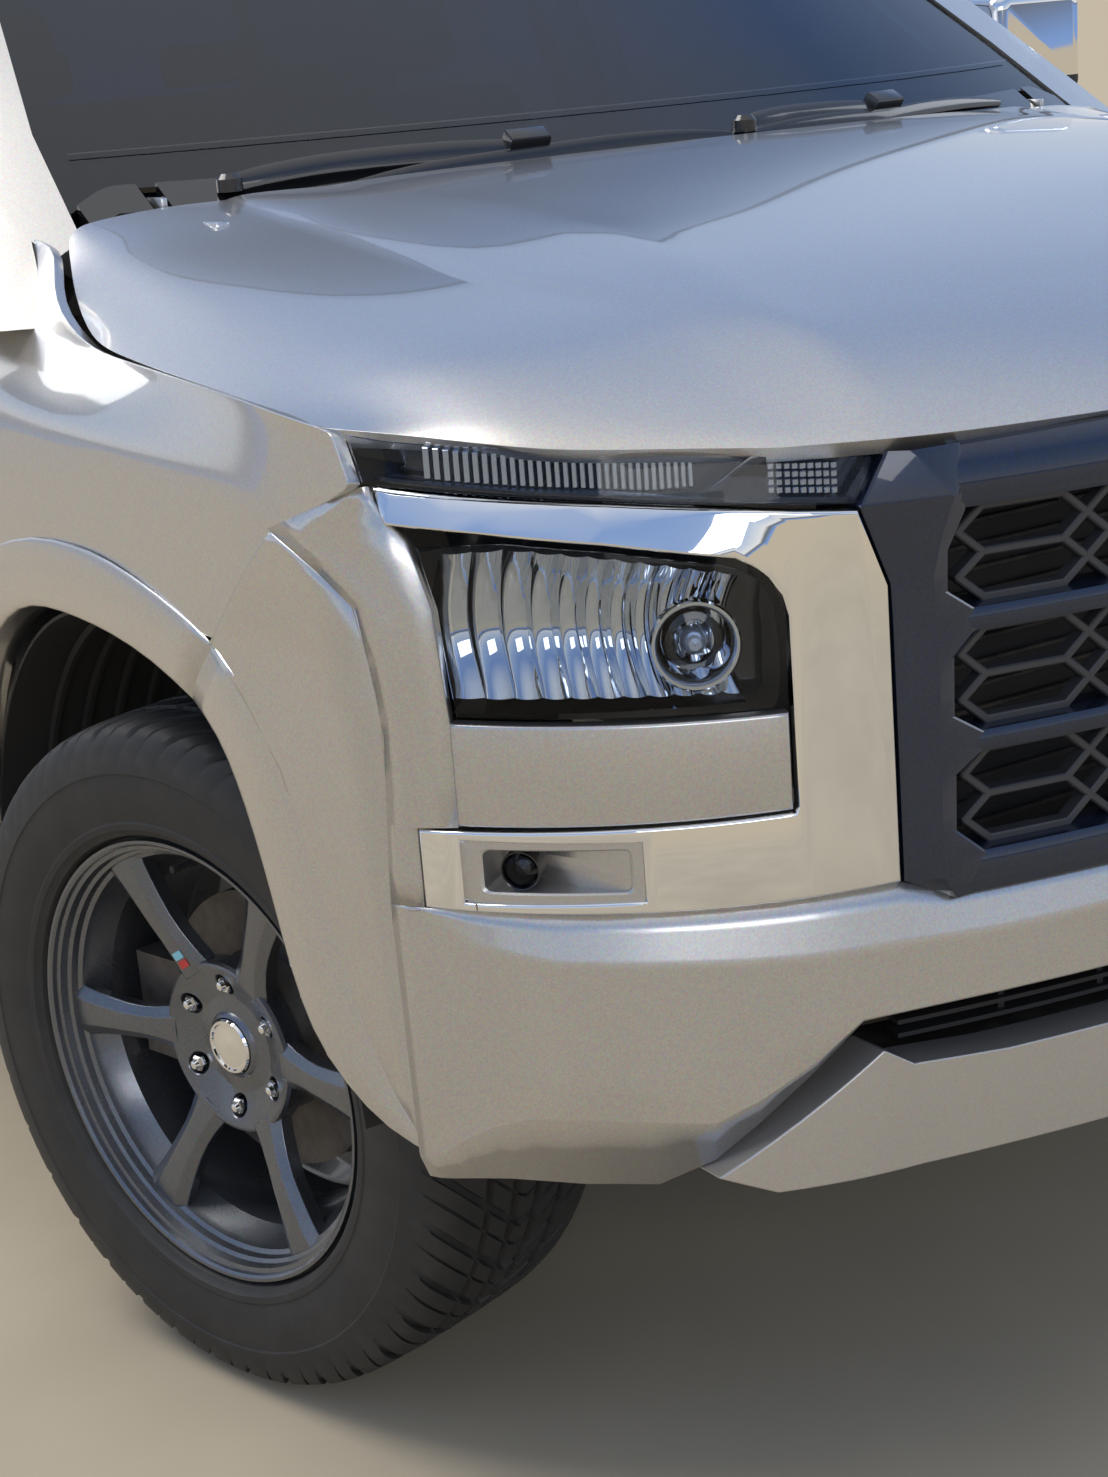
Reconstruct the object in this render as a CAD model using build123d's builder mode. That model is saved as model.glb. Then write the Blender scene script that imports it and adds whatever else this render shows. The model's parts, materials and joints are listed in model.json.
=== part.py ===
from build123d import *
import os
from math import cos, radians, sin

# Double cab pickup truck. Millimetres, +X to the truck's left, +Y to the rear, +Z up.
# Stations along the truck are counted rearward from the front axle. Each finished piece is
# moved once, by TO_ORIGIN, so that the origin is under the middle of the truck.

# Overall sizes
WHEELBASE = 3130.0
FRONT_OVERHANG = 880.0
REAR_OVERHANG = 1310.0
HALF_WIDTH = 932.0
ROOF_TOP = 1795.0
TRACK = 1570.0
SHUT_GAP = 6.0
SEAT_GAP = 0.3
GRILLE_PROUD = 14.0
TO_ORIGIN = Pos(0, (FRONT_OVERHANG + GRILLE_PROUD - WHEELBASE - REAR_OVERHANG) / 2, 0)

# Wheels and tyres
TYRE_RADIUS = 370.0
TYRE_WIDTH = 265.0
BEAD_RADIUS = 232.0
FLANGE_RADIUS = 243.0
RIM_HALF = 118.0
BARREL_RADIUS = 214.0
HUB_FACE = 32.0
HUB_RADIUS = 82.0
SPINDLE_RADIUS = 26.0
RUNNING_FIT = 0.05
SPOKES = 6
CAP_RADIUS = 30.0
NUT_CIRCLE = 69.85
NUT_POCKET = 13.0
KINGPIN_X = 705.0
BALL_PIN_RADIUS = 14.0
STEER_AT_REST = 15.4
DISC_RADIUS = 155.0
DISC_THICK = 24.0

# Body side, as half of a cross-section: x at each height
SILL_Z = 400.0
WAIST_Z = 860.0
BELT_Z = 1120.0
SHOULDER_Z = 1145.0
SILL_X = HALF_WIDTH - 64
BELT_X = HALF_WIDTH - 27
SHOULDER_X = HALF_WIDTH - 47
RAIL_Z = 1700.0
RAIL_X = 690.0
ROOF_EDGE_X = 560.0

# Cab
FIREWALL_Y = 330.0
CAB_REAR_Y = 2660.0
DOOR_FRONT_Y = 640.0
DOOR_SPLIT_Y = 1620.0
DOOR_REAR_Y = 2430.0
DOOR_BOTTOM_Z = 440.0
DOOR_TOP_Z = 1652.0
DOOR_THICK = 60.0
DOOR_SKIN = 9.0
DOOR_STEP = 16.0
CAB_WALL = 62.0
FLOOR_Z = 580.0
FLOOR_THICK = 40.0
SILL_IN = 720.0
SCREEN_BASE_Y = 215.0
SCREEN_BASE_Z = 1243.0
SCREEN_RISE = 0.6176
SCREEN_RADIUS = 1700.0
GLASS_THICK = 5.0
GLASS_DEPTH = 9.0
GLASS_GRIP = 12.0

# Load bed
BED_FRONT_Y = 2690.0
BED_REAR_Y = WHEELBASE + REAR_OVERHANG - 90
BED_RAIL_Z = 1175.0
BED_FLOOR_Z = 650.0
BED_HALF_INSIDE = 772.0
BED_WALL = 40.0
TAILGATE_THICK = 58.0
TAILGATE_HALF = 735.0

# Wheel arches
ARCH_Z = 385.0
ARCH_FRONT_RADIUS = 460.0
ARCH_REAR_RADIUS = 445.0
LINER_THICK = 4.0

# Ladder frame
RAIL_IN = 370.0
RAIL_OUT = 430.0
RAIL_LOW = 400.0
RAIL_HIGH = 520.0

# Hinges: door pins on the cab, hood pins on the cowl
HINGE_PIN = 1.4
HINGE_SLEEVE = 2.4
HINGE_HALF = 10.0
HINGE_PLATE = 4.0
HINGE_HEIGHTS = (790.0, 930.0)
PILLAR_HALF = 30.0
PILLAR_THICK = 54.0
HOOD_AXIS_Y = 335.0
HOOD_AXIS_Z = 1220.0
HOOD_ARM_X = 660.0
HOOD_ARM_HALF = 4.0
HOOD_SLOT_HALF = 10.0
HOOD_PIN = 4.0

# Arch flares and the bumper's shelf
FLARE_WIDTH = 78.0
FLARE_PROUD = 8.0
SHELF_PROUD = 12.0

os.makedirs("parts", exist_ok=True)


def keep(piece, name):
    """Move a finished piece to the truck's origin, label it and write it."""
    moved = piece.moved(TO_ORIGIN)
    moved.label = name
    export_step(moved, f"parts/{name}.step")


def side_prism(points, x_from, x_to):
    """A side outline, as (station, height) points, swept along X."""
    with BuildPart() as prism:
        with BuildSketch(Plane.YZ.offset(x_from)):
            with BuildLine():
                Polyline(*points, close=True)
            make_face()
        extrude(amount=x_to - x_from)
    return prism.part


def front_prism(points, y_from, y_to):
    """A front outline, as (x, height) points, swept along Y."""
    with BuildPart() as prism:
        with BuildSketch(Plane.XZ.offset(-y_to)):
            with BuildLine():
                Polyline(*points, close=True)
            make_face()
        extrude(amount=y_to - y_from)
    return prism.part


def plan_prism(points, z_from, z_to):
    """A plan outline, as (x, station) points, swept along Z."""
    with BuildPart() as prism:
        with BuildSketch(Plane.XY.offset(z_from)):
            with BuildLine():
                Polyline(*points, close=True)
            make_face()
        extrude(amount=z_to - z_from)
    return prism.part


def block(x_from, x_to, y_from, y_to, z_from, z_to):
    """A box between two corners."""
    size = (x_to - x_from, y_to - y_from, z_to - z_from)
    middle = ((x_from + x_to) / 2, (y_from + y_to) / 2, (z_from + z_to) / 2)
    with BuildPart() as box:
        with Locations(middle):
            Box(*size)
    return box.part


def rod(start, end, radius):
    """A round bar between two points."""
    along = Vector(*end) - Vector(*start)
    with BuildPart() as bar:
        with BuildSketch(Plane(origin=start, z_dir=along)):
            Circle(radius)
        extrude(amount=along.length)
    return bar.part


def cross_cylinder(y, z, radius, x_from, x_to):
    """A cylinder that lies along X."""
    return rod((x_from, y, z), (x_to, y, z), radius)


def joined(*shapes):
    """Several shapes as one."""
    with BuildPart() as whole:
        for shape in shapes:
            add(shape)
    return whole.part


def carved(shape, *cutters):
    """A shape with others cut from it."""
    with BuildPart() as whole:
        add(shape)
        for cutter in cutters:
            add(cutter, mode=Mode.SUBTRACT)
    return whole.part


def common(shape, *limits):
    """What a shape shares with others."""
    with BuildPart() as whole:
        add(shape)
        for limit in limits:
            add(limit, mode=Mode.INTERSECT)
    return whole.part


def both_sides(shape):
    """A shape and its mirror image across the truck."""
    with BuildPart() as pair:
        add(shape)
        mirror(about=Plane.YZ)
    return pair.part


def mirrored(shape):
    """The mirror image of a shape across the truck."""
    with BuildPart() as image:
        add(shape)
        mirror(about=Plane.YZ, mode=Mode.REPLACE)
    return image.part


def both_ways(points):
    """A half outline, from the middle outward, closed by its mirror image."""
    half_points = [(x, z) for x, z in points if x]
    middle = [(x, z) for x, z in points if not x]
    first = middle[:1] if points[0][0] == 0 else []
    last = middle[-1:] if points[-1][0] == 0 else []
    return first + half_points + last + [(-x, z) for x, z in reversed(half_points)]


def ruled_body(sections):
    """Front outlines at their stations, ruled from each one to the next."""
    with BuildPart() as body:
        for (y_from, first), (y_to, second) in zip(sections, sections[1:]):
            for y, points in ((y_from, first), (y_to, second)):
                with BuildSketch(Plane.XZ.offset(-y)):
                    with BuildLine():
                        Polyline(*points, close=True)
                    make_face()
            loft(ruled=True)
    return body.part


# Body envelopes
def body_section(inset, y_from, y_to):
    """The cab's cross-section, drawn in by an inset except at the sill, and swept along Y."""
    low_z = SILL_Z - inset
    with BuildPart() as prism:
        with BuildSketch(Plane.XZ.offset(-y_to)):
            with BuildLine():
                Line((0, low_z), (SILL_X, low_z))
                if inset:
                    Line((SILL_X, low_z), (SILL_X, SILL_Z))
                ThreePointArc((SILL_X, SILL_Z), (HALF_WIDTH - 12, 640), (HALF_WIDTH, WAIST_Z))
                ThreePointArc((HALF_WIDTH, WAIST_Z), (HALF_WIDTH - 7, 1000), (BELT_X, BELT_Z))
                Line((BELT_X, BELT_Z), (SHOULDER_X, SHOULDER_Z))
                ThreePointArc((SHOULDER_X, SHOULDER_Z), (797, 1430), (RAIL_X, RAIL_Z))
                ThreePointArc((RAIL_X, RAIL_Z), (645, 1755), (ROOF_EDGE_X, 1778))
                ThreePointArc((ROOF_EDGE_X, 1778), (280, 1791), (0, ROOF_TOP))
                Line((0, ROOF_TOP), (0, low_z))
            make_face()
            mirror(about=Plane.YZ)
            if inset:
                offset(amount=-inset, mode=Mode.REPLACE)
        extrude(amount=y_to - y_from)
    return prism.part


def cab_profile(inset):
    """The cab's side view, drawn in by an inset except at the sill, and swept across the truck."""
    low_z = SILL_Z - inset
    with BuildPart() as prism:
        with BuildSketch(Plane.YZ.offset(-HALF_WIDTH)):
            with BuildLine():
                Polyline((870, 1697), (-80, 1110), (FIREWALL_Y, 1110), (FIREWALL_Y, low_z),
                         (CAB_REAR_Y, low_z), (CAB_REAR_Y, SHOULDER_Z), (2590, 1690))
                ThreePointArc((2590, 1690), (1700, ROOF_TOP), (870, 1697))
            make_face()
            if inset:
                offset(amount=-inset, mode=Mode.REPLACE)
        extrude(amount=2 * HALF_WIDTH)
    return prism.part


def behind_screen(depth):
    """Everything behind the windscreen's face, which bows forward, moved back by a depth."""
    low_z = 300
    back = depth / sin(radians(31.7))
    middle_y = SCREEN_BASE_Y - (SCREEN_BASE_Z - low_z) / SCREEN_RISE + back
    side_y = middle_y + SCREEN_RADIUS - (SCREEN_RADIUS**2 - 1000**2) ** 0.5
    with BuildPart() as wedge:
        with BuildSketch(Plane.XY.offset(low_z)):
            with BuildLine():
                ThreePointArc((-1000, side_y), (0, middle_y), (1000, side_y))
                Polyline((1000, side_y), (1000, 4000), (-1000, 4000), (-1000, side_y))
            make_face()
        extrude(amount=3000, dir=(0, 1, SCREEN_RISE))
    return wedge.part


def cab_solid(inset):
    """The cab's whole form, drawn in by an inset."""
    return common(body_section(inset, -200, 2800), cab_profile(inset), behind_screen(inset))


# Doors: side outlines, as (station, height)
def front_door_outline(grow):
    """The front door's edge, grown by a distance on every side."""
    return [(DOOR_FRONT_Y - grow, DOOR_BOTTOM_Z - grow),
            (DOOR_SPLIT_Y + grow, DOOR_BOTTOM_Z - grow),
            (DOOR_SPLIT_Y + grow, DOOR_TOP_Z + grow),
            (1130 - grow, DOOR_TOP_Z + grow),
            (DOOR_FRONT_Y - grow, 1305 + grow)]


def rear_door_outline(grow):
    """The rear door's edge, grown by a distance on every side."""
    return [(DOOR_SPLIT_Y - grow, DOOR_BOTTOM_Z - grow),
            (DOOR_REAR_Y - 130 + grow, DOOR_BOTTOM_Z - grow),
            (DOOR_REAR_Y + grow, DOOR_BOTTOM_Z + 200 - grow),
            (DOOR_REAR_Y + grow, 1180 + grow),
            (DOOR_REAR_Y - 60 + grow, DOOR_TOP_Z - 30 + grow),
            (DOOR_REAR_Y - 110, DOOR_TOP_Z + grow),
            (DOOR_SPLIT_Y - grow, DOOR_TOP_Z + grow)]


FRONT_WINDOW = [(760, 1165), (1560, 1165), (1560, 1600), (1165, 1600), (760, 1340)]
REAR_WINDOW = [(1690, 1165), (2350, 1165), (2290, 1600), (1690, 1600)]
half = SHUT_GAP / 2
outer_cab = cab_solid(0)
inner_skin = cab_solid(DOOR_SKIN)
inner_door = cab_solid(DOOR_THICK)
glass_outside = cab_solid(GLASS_DEPTH)
glass_inside = cab_solid(GLASS_DEPTH + GLASS_THICK)
door_skin_shell = carved(outer_cab, inner_skin)
door_inner_shell = carved(inner_skin, inner_door)
glass_shell = carved(glass_outside, glass_inside)


def grown(points, grow):
    """An outline grown about its own middle by about a distance on each side."""
    middle_y = sum(y for y, z in points) / len(points)
    middle_z = sum(z for y, z in points) / len(points)
    return [(y + (grow if y > middle_y else -grow), z + (grow if z > middle_z else -grow))
            for y, z in points]


def door(outline, window):
    """The right door: a skin to the shut line, a stepped inner panel and its glass."""
    skin = common(door_skin_shell, side_prism(outline(-half), -HALF_WIDTH - 5, -500))
    inner = common(door_inner_shell, side_prism(outline(-half - DOOR_STEP), -HALF_WIDTH - 5, -500))
    glass = common(glass_shell, side_prism(grown(window, GLASS_GRIP), -HALF_WIDTH - 5, -500))
    opening = side_prism(window, -HALF_WIDTH - 5, -500)
    panel = carved(joined(skin, inner), opening, glass)
    return panel, glass


front_door, front_glass = door(front_door_outline, FRONT_WINDOW)
rear_door, rear_glass = door(rear_door_outline, REAR_WINDOW)

# Door handles
HANDLE_Z = 1035.0


def handle(y):
    """A pull handle on the right, seated on the door's skin."""
    grip = joined(block(-HALF_WIDTH - 34, -HALF_WIDTH - 20, y - 100, y + 100, HANDLE_Z - 14, HANDLE_Z + 14),
                  block(-HALF_WIDTH - 20.5, -900, y - 92, y - 66, HANDLE_Z - 11, HANDLE_Z + 11),
                  block(-HALF_WIDTH - 20.5, -900, y + 66, y + 92, HANDLE_Z - 11, HANDLE_Z + 11))
    return carved(grip, outer_cab)


front_handle = handle(DOOR_SPLIT_Y - 150)
rear_handle = handle(DOOR_REAR_Y - 160)



# Door hinges: a pin between two plates on the cab, and a sleeve on the door's front edge
def hinge_sleeve(y, z):
    """A sleeve on the right door's front edge, round its swing axis."""
    low, high = z - HINGE_HALF, z + HINGE_HALF
    sleeve = joined(rod((-HALF_WIDTH, y, low), (-HALF_WIDTH, y, high), HINGE_SLEEVE),
                    block(-HALF_WIDTH + 1, -HALF_WIDTH + DOOR_SKIN - 1, y + HINGE_PIN + SEAT_GAP, y + SHUT_GAP,
                          low, high))
    return carved(sleeve, rod((-HALF_WIDTH, y, low - 1), (-HALF_WIDTH, y, high + 1), HINGE_PIN + RUNNING_FIT))


def hinge_mount(y, y_from, x_in, z):
    """The pin of a right door's hinge, with a plate above and below that runs inboard to the cab."""
    reach = HINGE_HALF + HINGE_PLATE
    shapes = [rod((-HALF_WIDTH, y, z - reach), (-HALF_WIDTH, y, z + reach), HINGE_PIN)]
    for low in (z - reach, z + HINGE_HALF + 0.1):
        shapes.append(block(-HALF_WIDTH - HINGE_PIN, x_in, y_from, y + HINGE_PIN,
                            low, low + HINGE_PLATE - 0.1))
    return joined(*shapes)


front_door = joined(front_door, *[hinge_sleeve(DOOR_FRONT_Y, z) for z in HINGE_HEIGHTS])
rear_door = joined(rear_door, *[hinge_sleeve(DOOR_SPLIT_Y, z) for z in HINGE_HEIGHTS])
door_pins = [hinge_mount(DOOR_FRONT_Y, DOOR_FRONT_Y - SHUT_GAP + 0.5, 45 - HALF_WIDTH, z)
             for z in HINGE_HEIGHTS]
door_pins += [hinge_mount(DOOR_SPLIT_Y, DOOR_SPLIT_Y - HINGE_PIN, DOOR_THICK + 20 - HALF_WIDTH, z)
              for z in HINGE_HEIGHTS]

# Centre pillars, just inside the doors, from the floor to the roof
pillar_zone = block(-900, -500, DOOR_SPLIT_Y - PILLAR_HALF, DOOR_SPLIT_Y + PILLAR_HALF,
                    FLOOR_Z - 20, ROOF_TOP)
pillar_inner = cab_solid(DOOR_THICK + SHUT_GAP + PILLAR_THICK)
pillar = common(carved(cab_solid(DOOR_THICK + SHUT_GAP), pillar_inner), pillar_zone)
pillar_head = common(carved(cab_solid(DOOR_SKIN), pillar_inner), pillar_zone,
                     block(-900, -500, 0, 3000, DOOR_TOP_Z + SHUT_GAP, ROOF_TOP))
pillar = joined(pillar, pillar_head)

# Door mirrors
MIRROR_Y = 700.0
MIRROR_Z = 1285.0
mirror_head = block(-1085, -905, MIRROR_Y - 55, MIRROR_Y + 50, MIRROR_Z - 85, MIRROR_Z + 85)
with BuildPart() as mirror_shape:
    add(mirror_head)
    fillet(mirror_shape.edges().filter_by(Axis.Y), 30)
    fillet(mirror_shape.faces().sort_by(Axis.Y)[0].edges(), 22)
mirror_arm = carved(block(-925, -800, MIRROR_Y - 22, MIRROR_Y + 22, MIRROR_Z - 115, MIRROR_Z - 70), outer_cab)
mirror_piece = joined(carved(mirror_shape.part,
                             block(-1075, -915, MIRROR_Y + 42, MIRROR_Y + 60, MIRROR_Z - 75, MIRROR_Z + 75)),
                      mirror_arm)
mirror_glass = block(-1073, -917, MIRROR_Y + 42 + SEAT_GAP, MIRROR_Y + 46, MIRROR_Z - 73, MIRROR_Z + 73)
for side, turn in (("right", lambda shape: shape), ("left", mirrored)):
    keep(turn(joined(front_door, front_handle)), f"front_door_{side}")
    keep(turn(joined(rear_door, rear_handle)), f"rear_door_{side}")
    keep(turn(front_glass), f"front_door_glass_{side}")
    keep(turn(rear_glass), f"rear_door_glass_{side}")
    keep(turn(joined(mirror_piece, mirror_glass)), f"mirror_{side}")

# Hood: sections across the truck, ruled from one to the next
# columns: station, middle z, crease x and z, shoulder x and z, edge x and z
HOOD_THICK = 18.0
HOOD_SECTIONS = [
    (-960, 1042, 560, 1054, 800, 1078, 960, 1098),
    (-800, 1090, 560, 1082, 800, 1095, 920, 1104),
    (-600, 1152, 545, 1146, 780, 1132, 905, 1106),
    (-300, 1188, 625, 1176, 783, 1149, 889, 1098),
    (90, 1228, 594, 1203, 778, 1176, 851, 1106),
    (360, 1262, 585, 1222, 740, 1212, 800, 1200)]
HOOD_REAR_Y = 155.0
HOOD_BASE_Z = 900.0
HOOD_TRIM = 2.0
COWL_WIDTH = 42.0
COWL_THICK = 24.0


def hood_plan(grow):
    """The hood's plan outline on the right half, mirrored, grown by a distance."""
    with BuildSketch() as plan:
        with BuildLine():
            ThreePointArc((-565, -812), (0, -868), (565, -812))
            Polyline((565, -812), (704, -757), (793, -697), (878, -599), (906, -520), (890, -341),
                     (875, -140), (851, 90), (820, 191), (785, 294), (706, 312))
            ThreePointArc((706, 312), (0, HOOD_REAR_Y), (-706, 312))
            Polyline((-706, 312), (-785, 294), (-820, 191), (-851, 90), (-875, -140), (-890, -341),
                     (-906, -520), (-878, -599), (-793, -697), (-704, -757), (-565, -812))
        make_face()
        if grow:
            offset(amount=grow, mode=Mode.REPLACE)
    return plan.sketch


def hood_surface(drop):
    """A solid whose top is the hood's surface, lowered by a distance."""
    sections = []
    for y, mid, x1, z1, x2, z2, x3, z3 in HOOD_SECTIONS:
        sections.append((y, both_ways([(x3, HOOD_BASE_Z), (x3, z3 - drop), (x2, z2 - drop), (x1, z1 - drop),
                                       (0, mid - drop)][::-1])))
    return ruled_body(sections)


with BuildPart() as hood:
    with BuildSketch(Plane.XY.offset(HOOD_BASE_Z + 5)):
        add(hood_plan(-HOOD_TRIM))
    extrude(amount=400)
    add(carved(hood_surface(0), hood_surface(HOOD_THICK)), mode=Mode.INTERSECT)
hood_arm = side_prism([(HOOD_AXIS_Y - 73, 1194), (HOOD_AXIS_Y - 43, 1194), (HOOD_AXIS_Y + 8, HOOD_AXIS_Z - 8),
                       (HOOD_AXIS_Y + 8, HOOD_AXIS_Z + 8), (HOOD_AXIS_Y - 7, HOOD_AXIS_Z + 8),
                       (HOOD_AXIS_Y - 45, 1206), (HOOD_AXIS_Y - 73, 1206)],
                      -HOOD_ARM_X - HOOD_ARM_HALF, -HOOD_ARM_X + HOOD_ARM_HALF)
hood_bore = cross_cylinder(HOOD_AXIS_Y, HOOD_AXIS_Z, HOOD_PIN + RUNNING_FIT,
                           -HOOD_ARM_X - HOOD_SLOT_HALF, -HOOD_ARM_X + HOOD_SLOT_HALF)
keep(joined(hood.part, both_sides(carved(hood_arm, hood_bore))), "hood")

with BuildPart() as hood_space:
    with BuildSketch(Plane.XY.offset(1000)):
        add(hood_plan(SHUT_GAP))
    extrude(amount=400)
with BuildPart() as cowl_space:
    with BuildSketch(Plane.XY.offset(1000)):
        add(hood_plan(SHUT_GAP + COWL_WIDTH))
    extrude(amount=400)

# Front fenders: sections of the right side, ruled from one to the next
# columns: station, edge x and z, shoulder x and z, waist x
FENDER_THICK = 30.0
FENDER_SECTIONS = [
    (-640, 905, 1072, 915, 990, 926),
    (-450, 906, 1074, 914, 998, 930),
    (-345, 897, 1091, 912, 1024, 931),
    (90, 858, 1102, 908, 1033, 932),
    (290, 795, 1192, 905, 1042, 932),
    (DOOR_FRONT_Y - SHUT_GAP, 868, 1196, 904, 1118, 932)]


def fender_form():
    """The right fender, from its top edge down to the sill, as one bent wall."""
    sections = []
    for y, x1, z1, x2, z2, x3 in FENDER_SECTIONS:
        outside = [(-x1, z1), (-x2, z2), (-x3, 880), (-x3 + 7, 700), (-SILL_X - 30, 520), (-SILL_X, SILL_Z)]
        inside = [(x + FENDER_THICK, max(z - FENDER_THICK / 2, SILL_Z)) for x, z in outside]
        inside[0] = (-x1 + FENDER_THICK, z1 - 1.6 * FENDER_THICK)
        sections.append((y, outside + inside[::-1] + [(-x1 + 1, z1 - FENDER_THICK)]))
    return ruled_body(sections)


arch_front = cross_cylinder(0, ARCH_Z, ARCH_FRONT_RADIUS, -1000, 1000)


def nose_plan(grow, y_back=FIREWALL_Y, bulge=0.0):
    """The nose in plan, grown by a distance: three arcs and straight sides. A bulge moves it forward."""
    with BuildSketch() as plan:
        with BuildLine():
            ThreePointArc((-560, -808 - bulge), (0, -FRONT_OVERHANG - bulge), (560, -808 - bulge))
            for x in (-1, 1):
                ThreePointArc((x * 560, -808 - bulge), (x * (770 + bulge / 3), -716 - bulge / 2),
                              (x * 890, -580))
                ThreePointArc((x * 890, -580), (x * 921, -480), (x * HALF_WIDTH, -330))
                Line((x * HALF_WIDTH, -330), (x * HALF_WIDTH, y_back))
            Line((-HALF_WIDTH, y_back), (HALF_WIDTH, y_back))
        make_face()
        if grow:
            offset(amount=grow, mode=Mode.REPLACE)
    return plan.sketch


def nose_solid(grow, z_from, z_to, y_back=FIREWALL_Y, bulge=0.0):
    """The nose's plan swept up between two heights."""
    with BuildPart() as solid:
        with BuildSketch(Plane.XY.offset(z_from)):
            add(nose_plan(grow, y_back, bulge))
        extrude(amount=z_to - z_from)
    return solid.part


def front_piece(outline, proud, depth, z_from=400, z_to=1120):
    """A piece of the nose: a front outline wrapped on the plan curve, from proud to depth."""
    shell = carved(nose_solid(proud, z_from, z_to), nose_solid(-depth, z_from - 10, z_to + 10))
    return common(shell, front_prism(outline, -1000, -330))


BUMPER_LOW = 438.0
BUMPER_THICK = 40.0
# The fender ends forward at the bumper's seam, which runs from the lamps to the arch
SEAM = [(-572, 1044), (-451, 998), (-316, 874), (-262, 800)]
fender_cut = side_prism([(-700, 1044)] + SEAM + [(-200, 700), (-200, 300), (-700, 300)], -1000, -500)
flare_ring = carved(cross_cylinder(0, ARCH_Z, ARCH_FRONT_RADIUS + FLARE_WIDTH, -1000, -800), arch_front)
flare = common(nose_solid(FLARE_PROUD, BUMPER_LOW, 1000, 700), flare_ring)
flare = carved(flare, nose_solid(-BUMPER_THICK, 400, 1100, 800))
flare_rear = common(flare, block(-1000, -800, 0, DOOR_FRONT_Y - SHUT_GAP, 570, 1000))
flare_front = common(flare, block(-1000, -800, -700, 0, BUMPER_LOW, 1000))
fender = carved(joined(fender_form(), flare_rear, carved(flare_front, fender_cut)), arch_front, fender_cut)

# Cab shell: hollow, with door openings, a windscreen and a rear window
WINDSCREEN = both_ways([(0, 1180), (760, 1180), (735, 1300), (600, 1655), (0, 1675)])
REAR_SCREEN = both_ways([(0, 1235), (600, 1235), (560, 1600), (0, 1610)])
arch_cut = both_sides(cross_cylinder(0, ARCH_Z, ARCH_FRONT_RADIUS, -1000, -480))
toe_board = both_sides(cross_cylinder(0, ARCH_Z, ARCH_FRONT_RADIUS + 25, -1000, -455))
cab_inside = common(cab_solid(CAB_WALL), block(-900, 900, FIREWALL_Y + 40, CAB_REAR_Y - 40, FLOOR_Z, 1780))
cab_inside = carved(cab_inside, toe_board)
under_floor = block(-SILL_IN, SILL_IN, 0, CAB_REAR_Y + 10, SILL_Z - 10, FLOOR_Z - FLOOR_THICK)
screen_slab = carved(behind_screen(4), behind_screen(4 + GLASS_THICK))
windscreen_shape = common(screen_slab, outer_cab,
                          front_prism(both_ways([(0, 1180), (770, 1180), (745, 1305), (612, 1667),
                                                 (0, 1687)]), 0, 1500))
windscreen_shape = carved(windscreen_shape, cowl_space.part)
cowl_ring = carved(cowl_space.part, hood_space.part)
cowl = common(outer_cab, cowl_ring, block(-740, 740, 0, 500, 1100, 1300))
cowl = carved(cowl, behind_screen(COWL_THICK))
cowl = carved(cowl, both_sides(block(-HOOD_ARM_X - HOOD_SLOT_HALF, -HOOD_ARM_X + HOOD_SLOT_HALF,
                                     HOOD_AXIS_Y - 60, HOOD_AXIS_Y + 17, 1100, 1300)))
hood_pin = cross_cylinder(HOOD_AXIS_Y, HOOD_AXIS_Z, HOOD_PIN, -HOOD_ARM_X - HOOD_SLOT_HALF - 2,
                          -HOOD_ARM_X + HOOD_SLOT_HALF + 2)
cowl = joined(cowl, both_sides(hood_pin))
rear_slab = carved(cab_profile(6), cab_profile(6 + GLASS_THICK))
rear_window = common(rear_slab, front_prism([(-612, 1223), (612, 1223), (572, 1612), (-572, 1612)],
                                            2400, 2800))
cab_shell = carved(
    outer_cab, cab_inside, hood_space.part,
    side_prism(front_door_outline(half), -1000, -500), side_prism(front_door_outline(half), 500, 1000),
    side_prism(rear_door_outline(half), -1000, -500), side_prism(rear_door_outline(half), 500, 1000),
    front_prism(WINDSCREEN, 0, 1500), front_prism(REAR_SCREEN, 2400, 2800),
    windscreen_shape, rear_window, cowl, arch_cut, under_floor, both_sides(fender))
keep(cowl, "cowl")
cab_shell = joined(cab_shell, both_sides(joined(pillar, *door_pins)))
keep(cab_shell, "cab_shell")
keep(windscreen_shape, "windscreen")
keep(rear_window, "rear_window")

# Nose pieces: front outlines on the right half, as (x, height)
GRILLE_OUTER = [(0, 1042), (562, 1040), (591, 1003), (567, 938), (565, 688), (528, 675), (0, 668)]
GRILLE_ROWS = ((908, 990), (806, 890), (703, 787))
STRIP_TOP = [(902, 1076), (854, 1068), (768, 1058), (660, 1046), (566, 1040)]
STRIP_LOW = [(591, 1004), (662, 1012), (771, 1026), (856, 1036), (897, 1043)]
HEADLAMP = [(880, 998), (870, 944), (866, 852), (662, 848), (657, 900), (662, 945), (687, 972), (773, 990),
            (831, 1000)]
CHROME = [(897, 1041), (856, 1034), (771, 1024), (662, 1010), (592, 1002), (568, 938), (566, 688),
          (886, 690), (886, 760), (650, 762), (650, 930), (664, 957), (687, 975), (772, 993), (842, 1005),
          (888, 1012)]
FOG_BEZEL = [(866, 698), (866, 752), (760, 750), (760, 700)]
SHELF = [(888, 685), (816, 651), (724, 646), (567, 638), (0, 636)]
SLOT_TOP = 578.0
LOWER_SLOT = [(0, SLOT_TOP), (608, SLOT_TOP), (592, 540), (567, 529), (480, 524), (0, 525)]
SKID = [(0, 526), (480, 525), (567, 530), (594, 548), (730, 455), (686, 436), (0, 436)]


def mirror_points(points):
    """The same outline on the truck's right."""
    return [(-x, z) for x, z in points]


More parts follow.
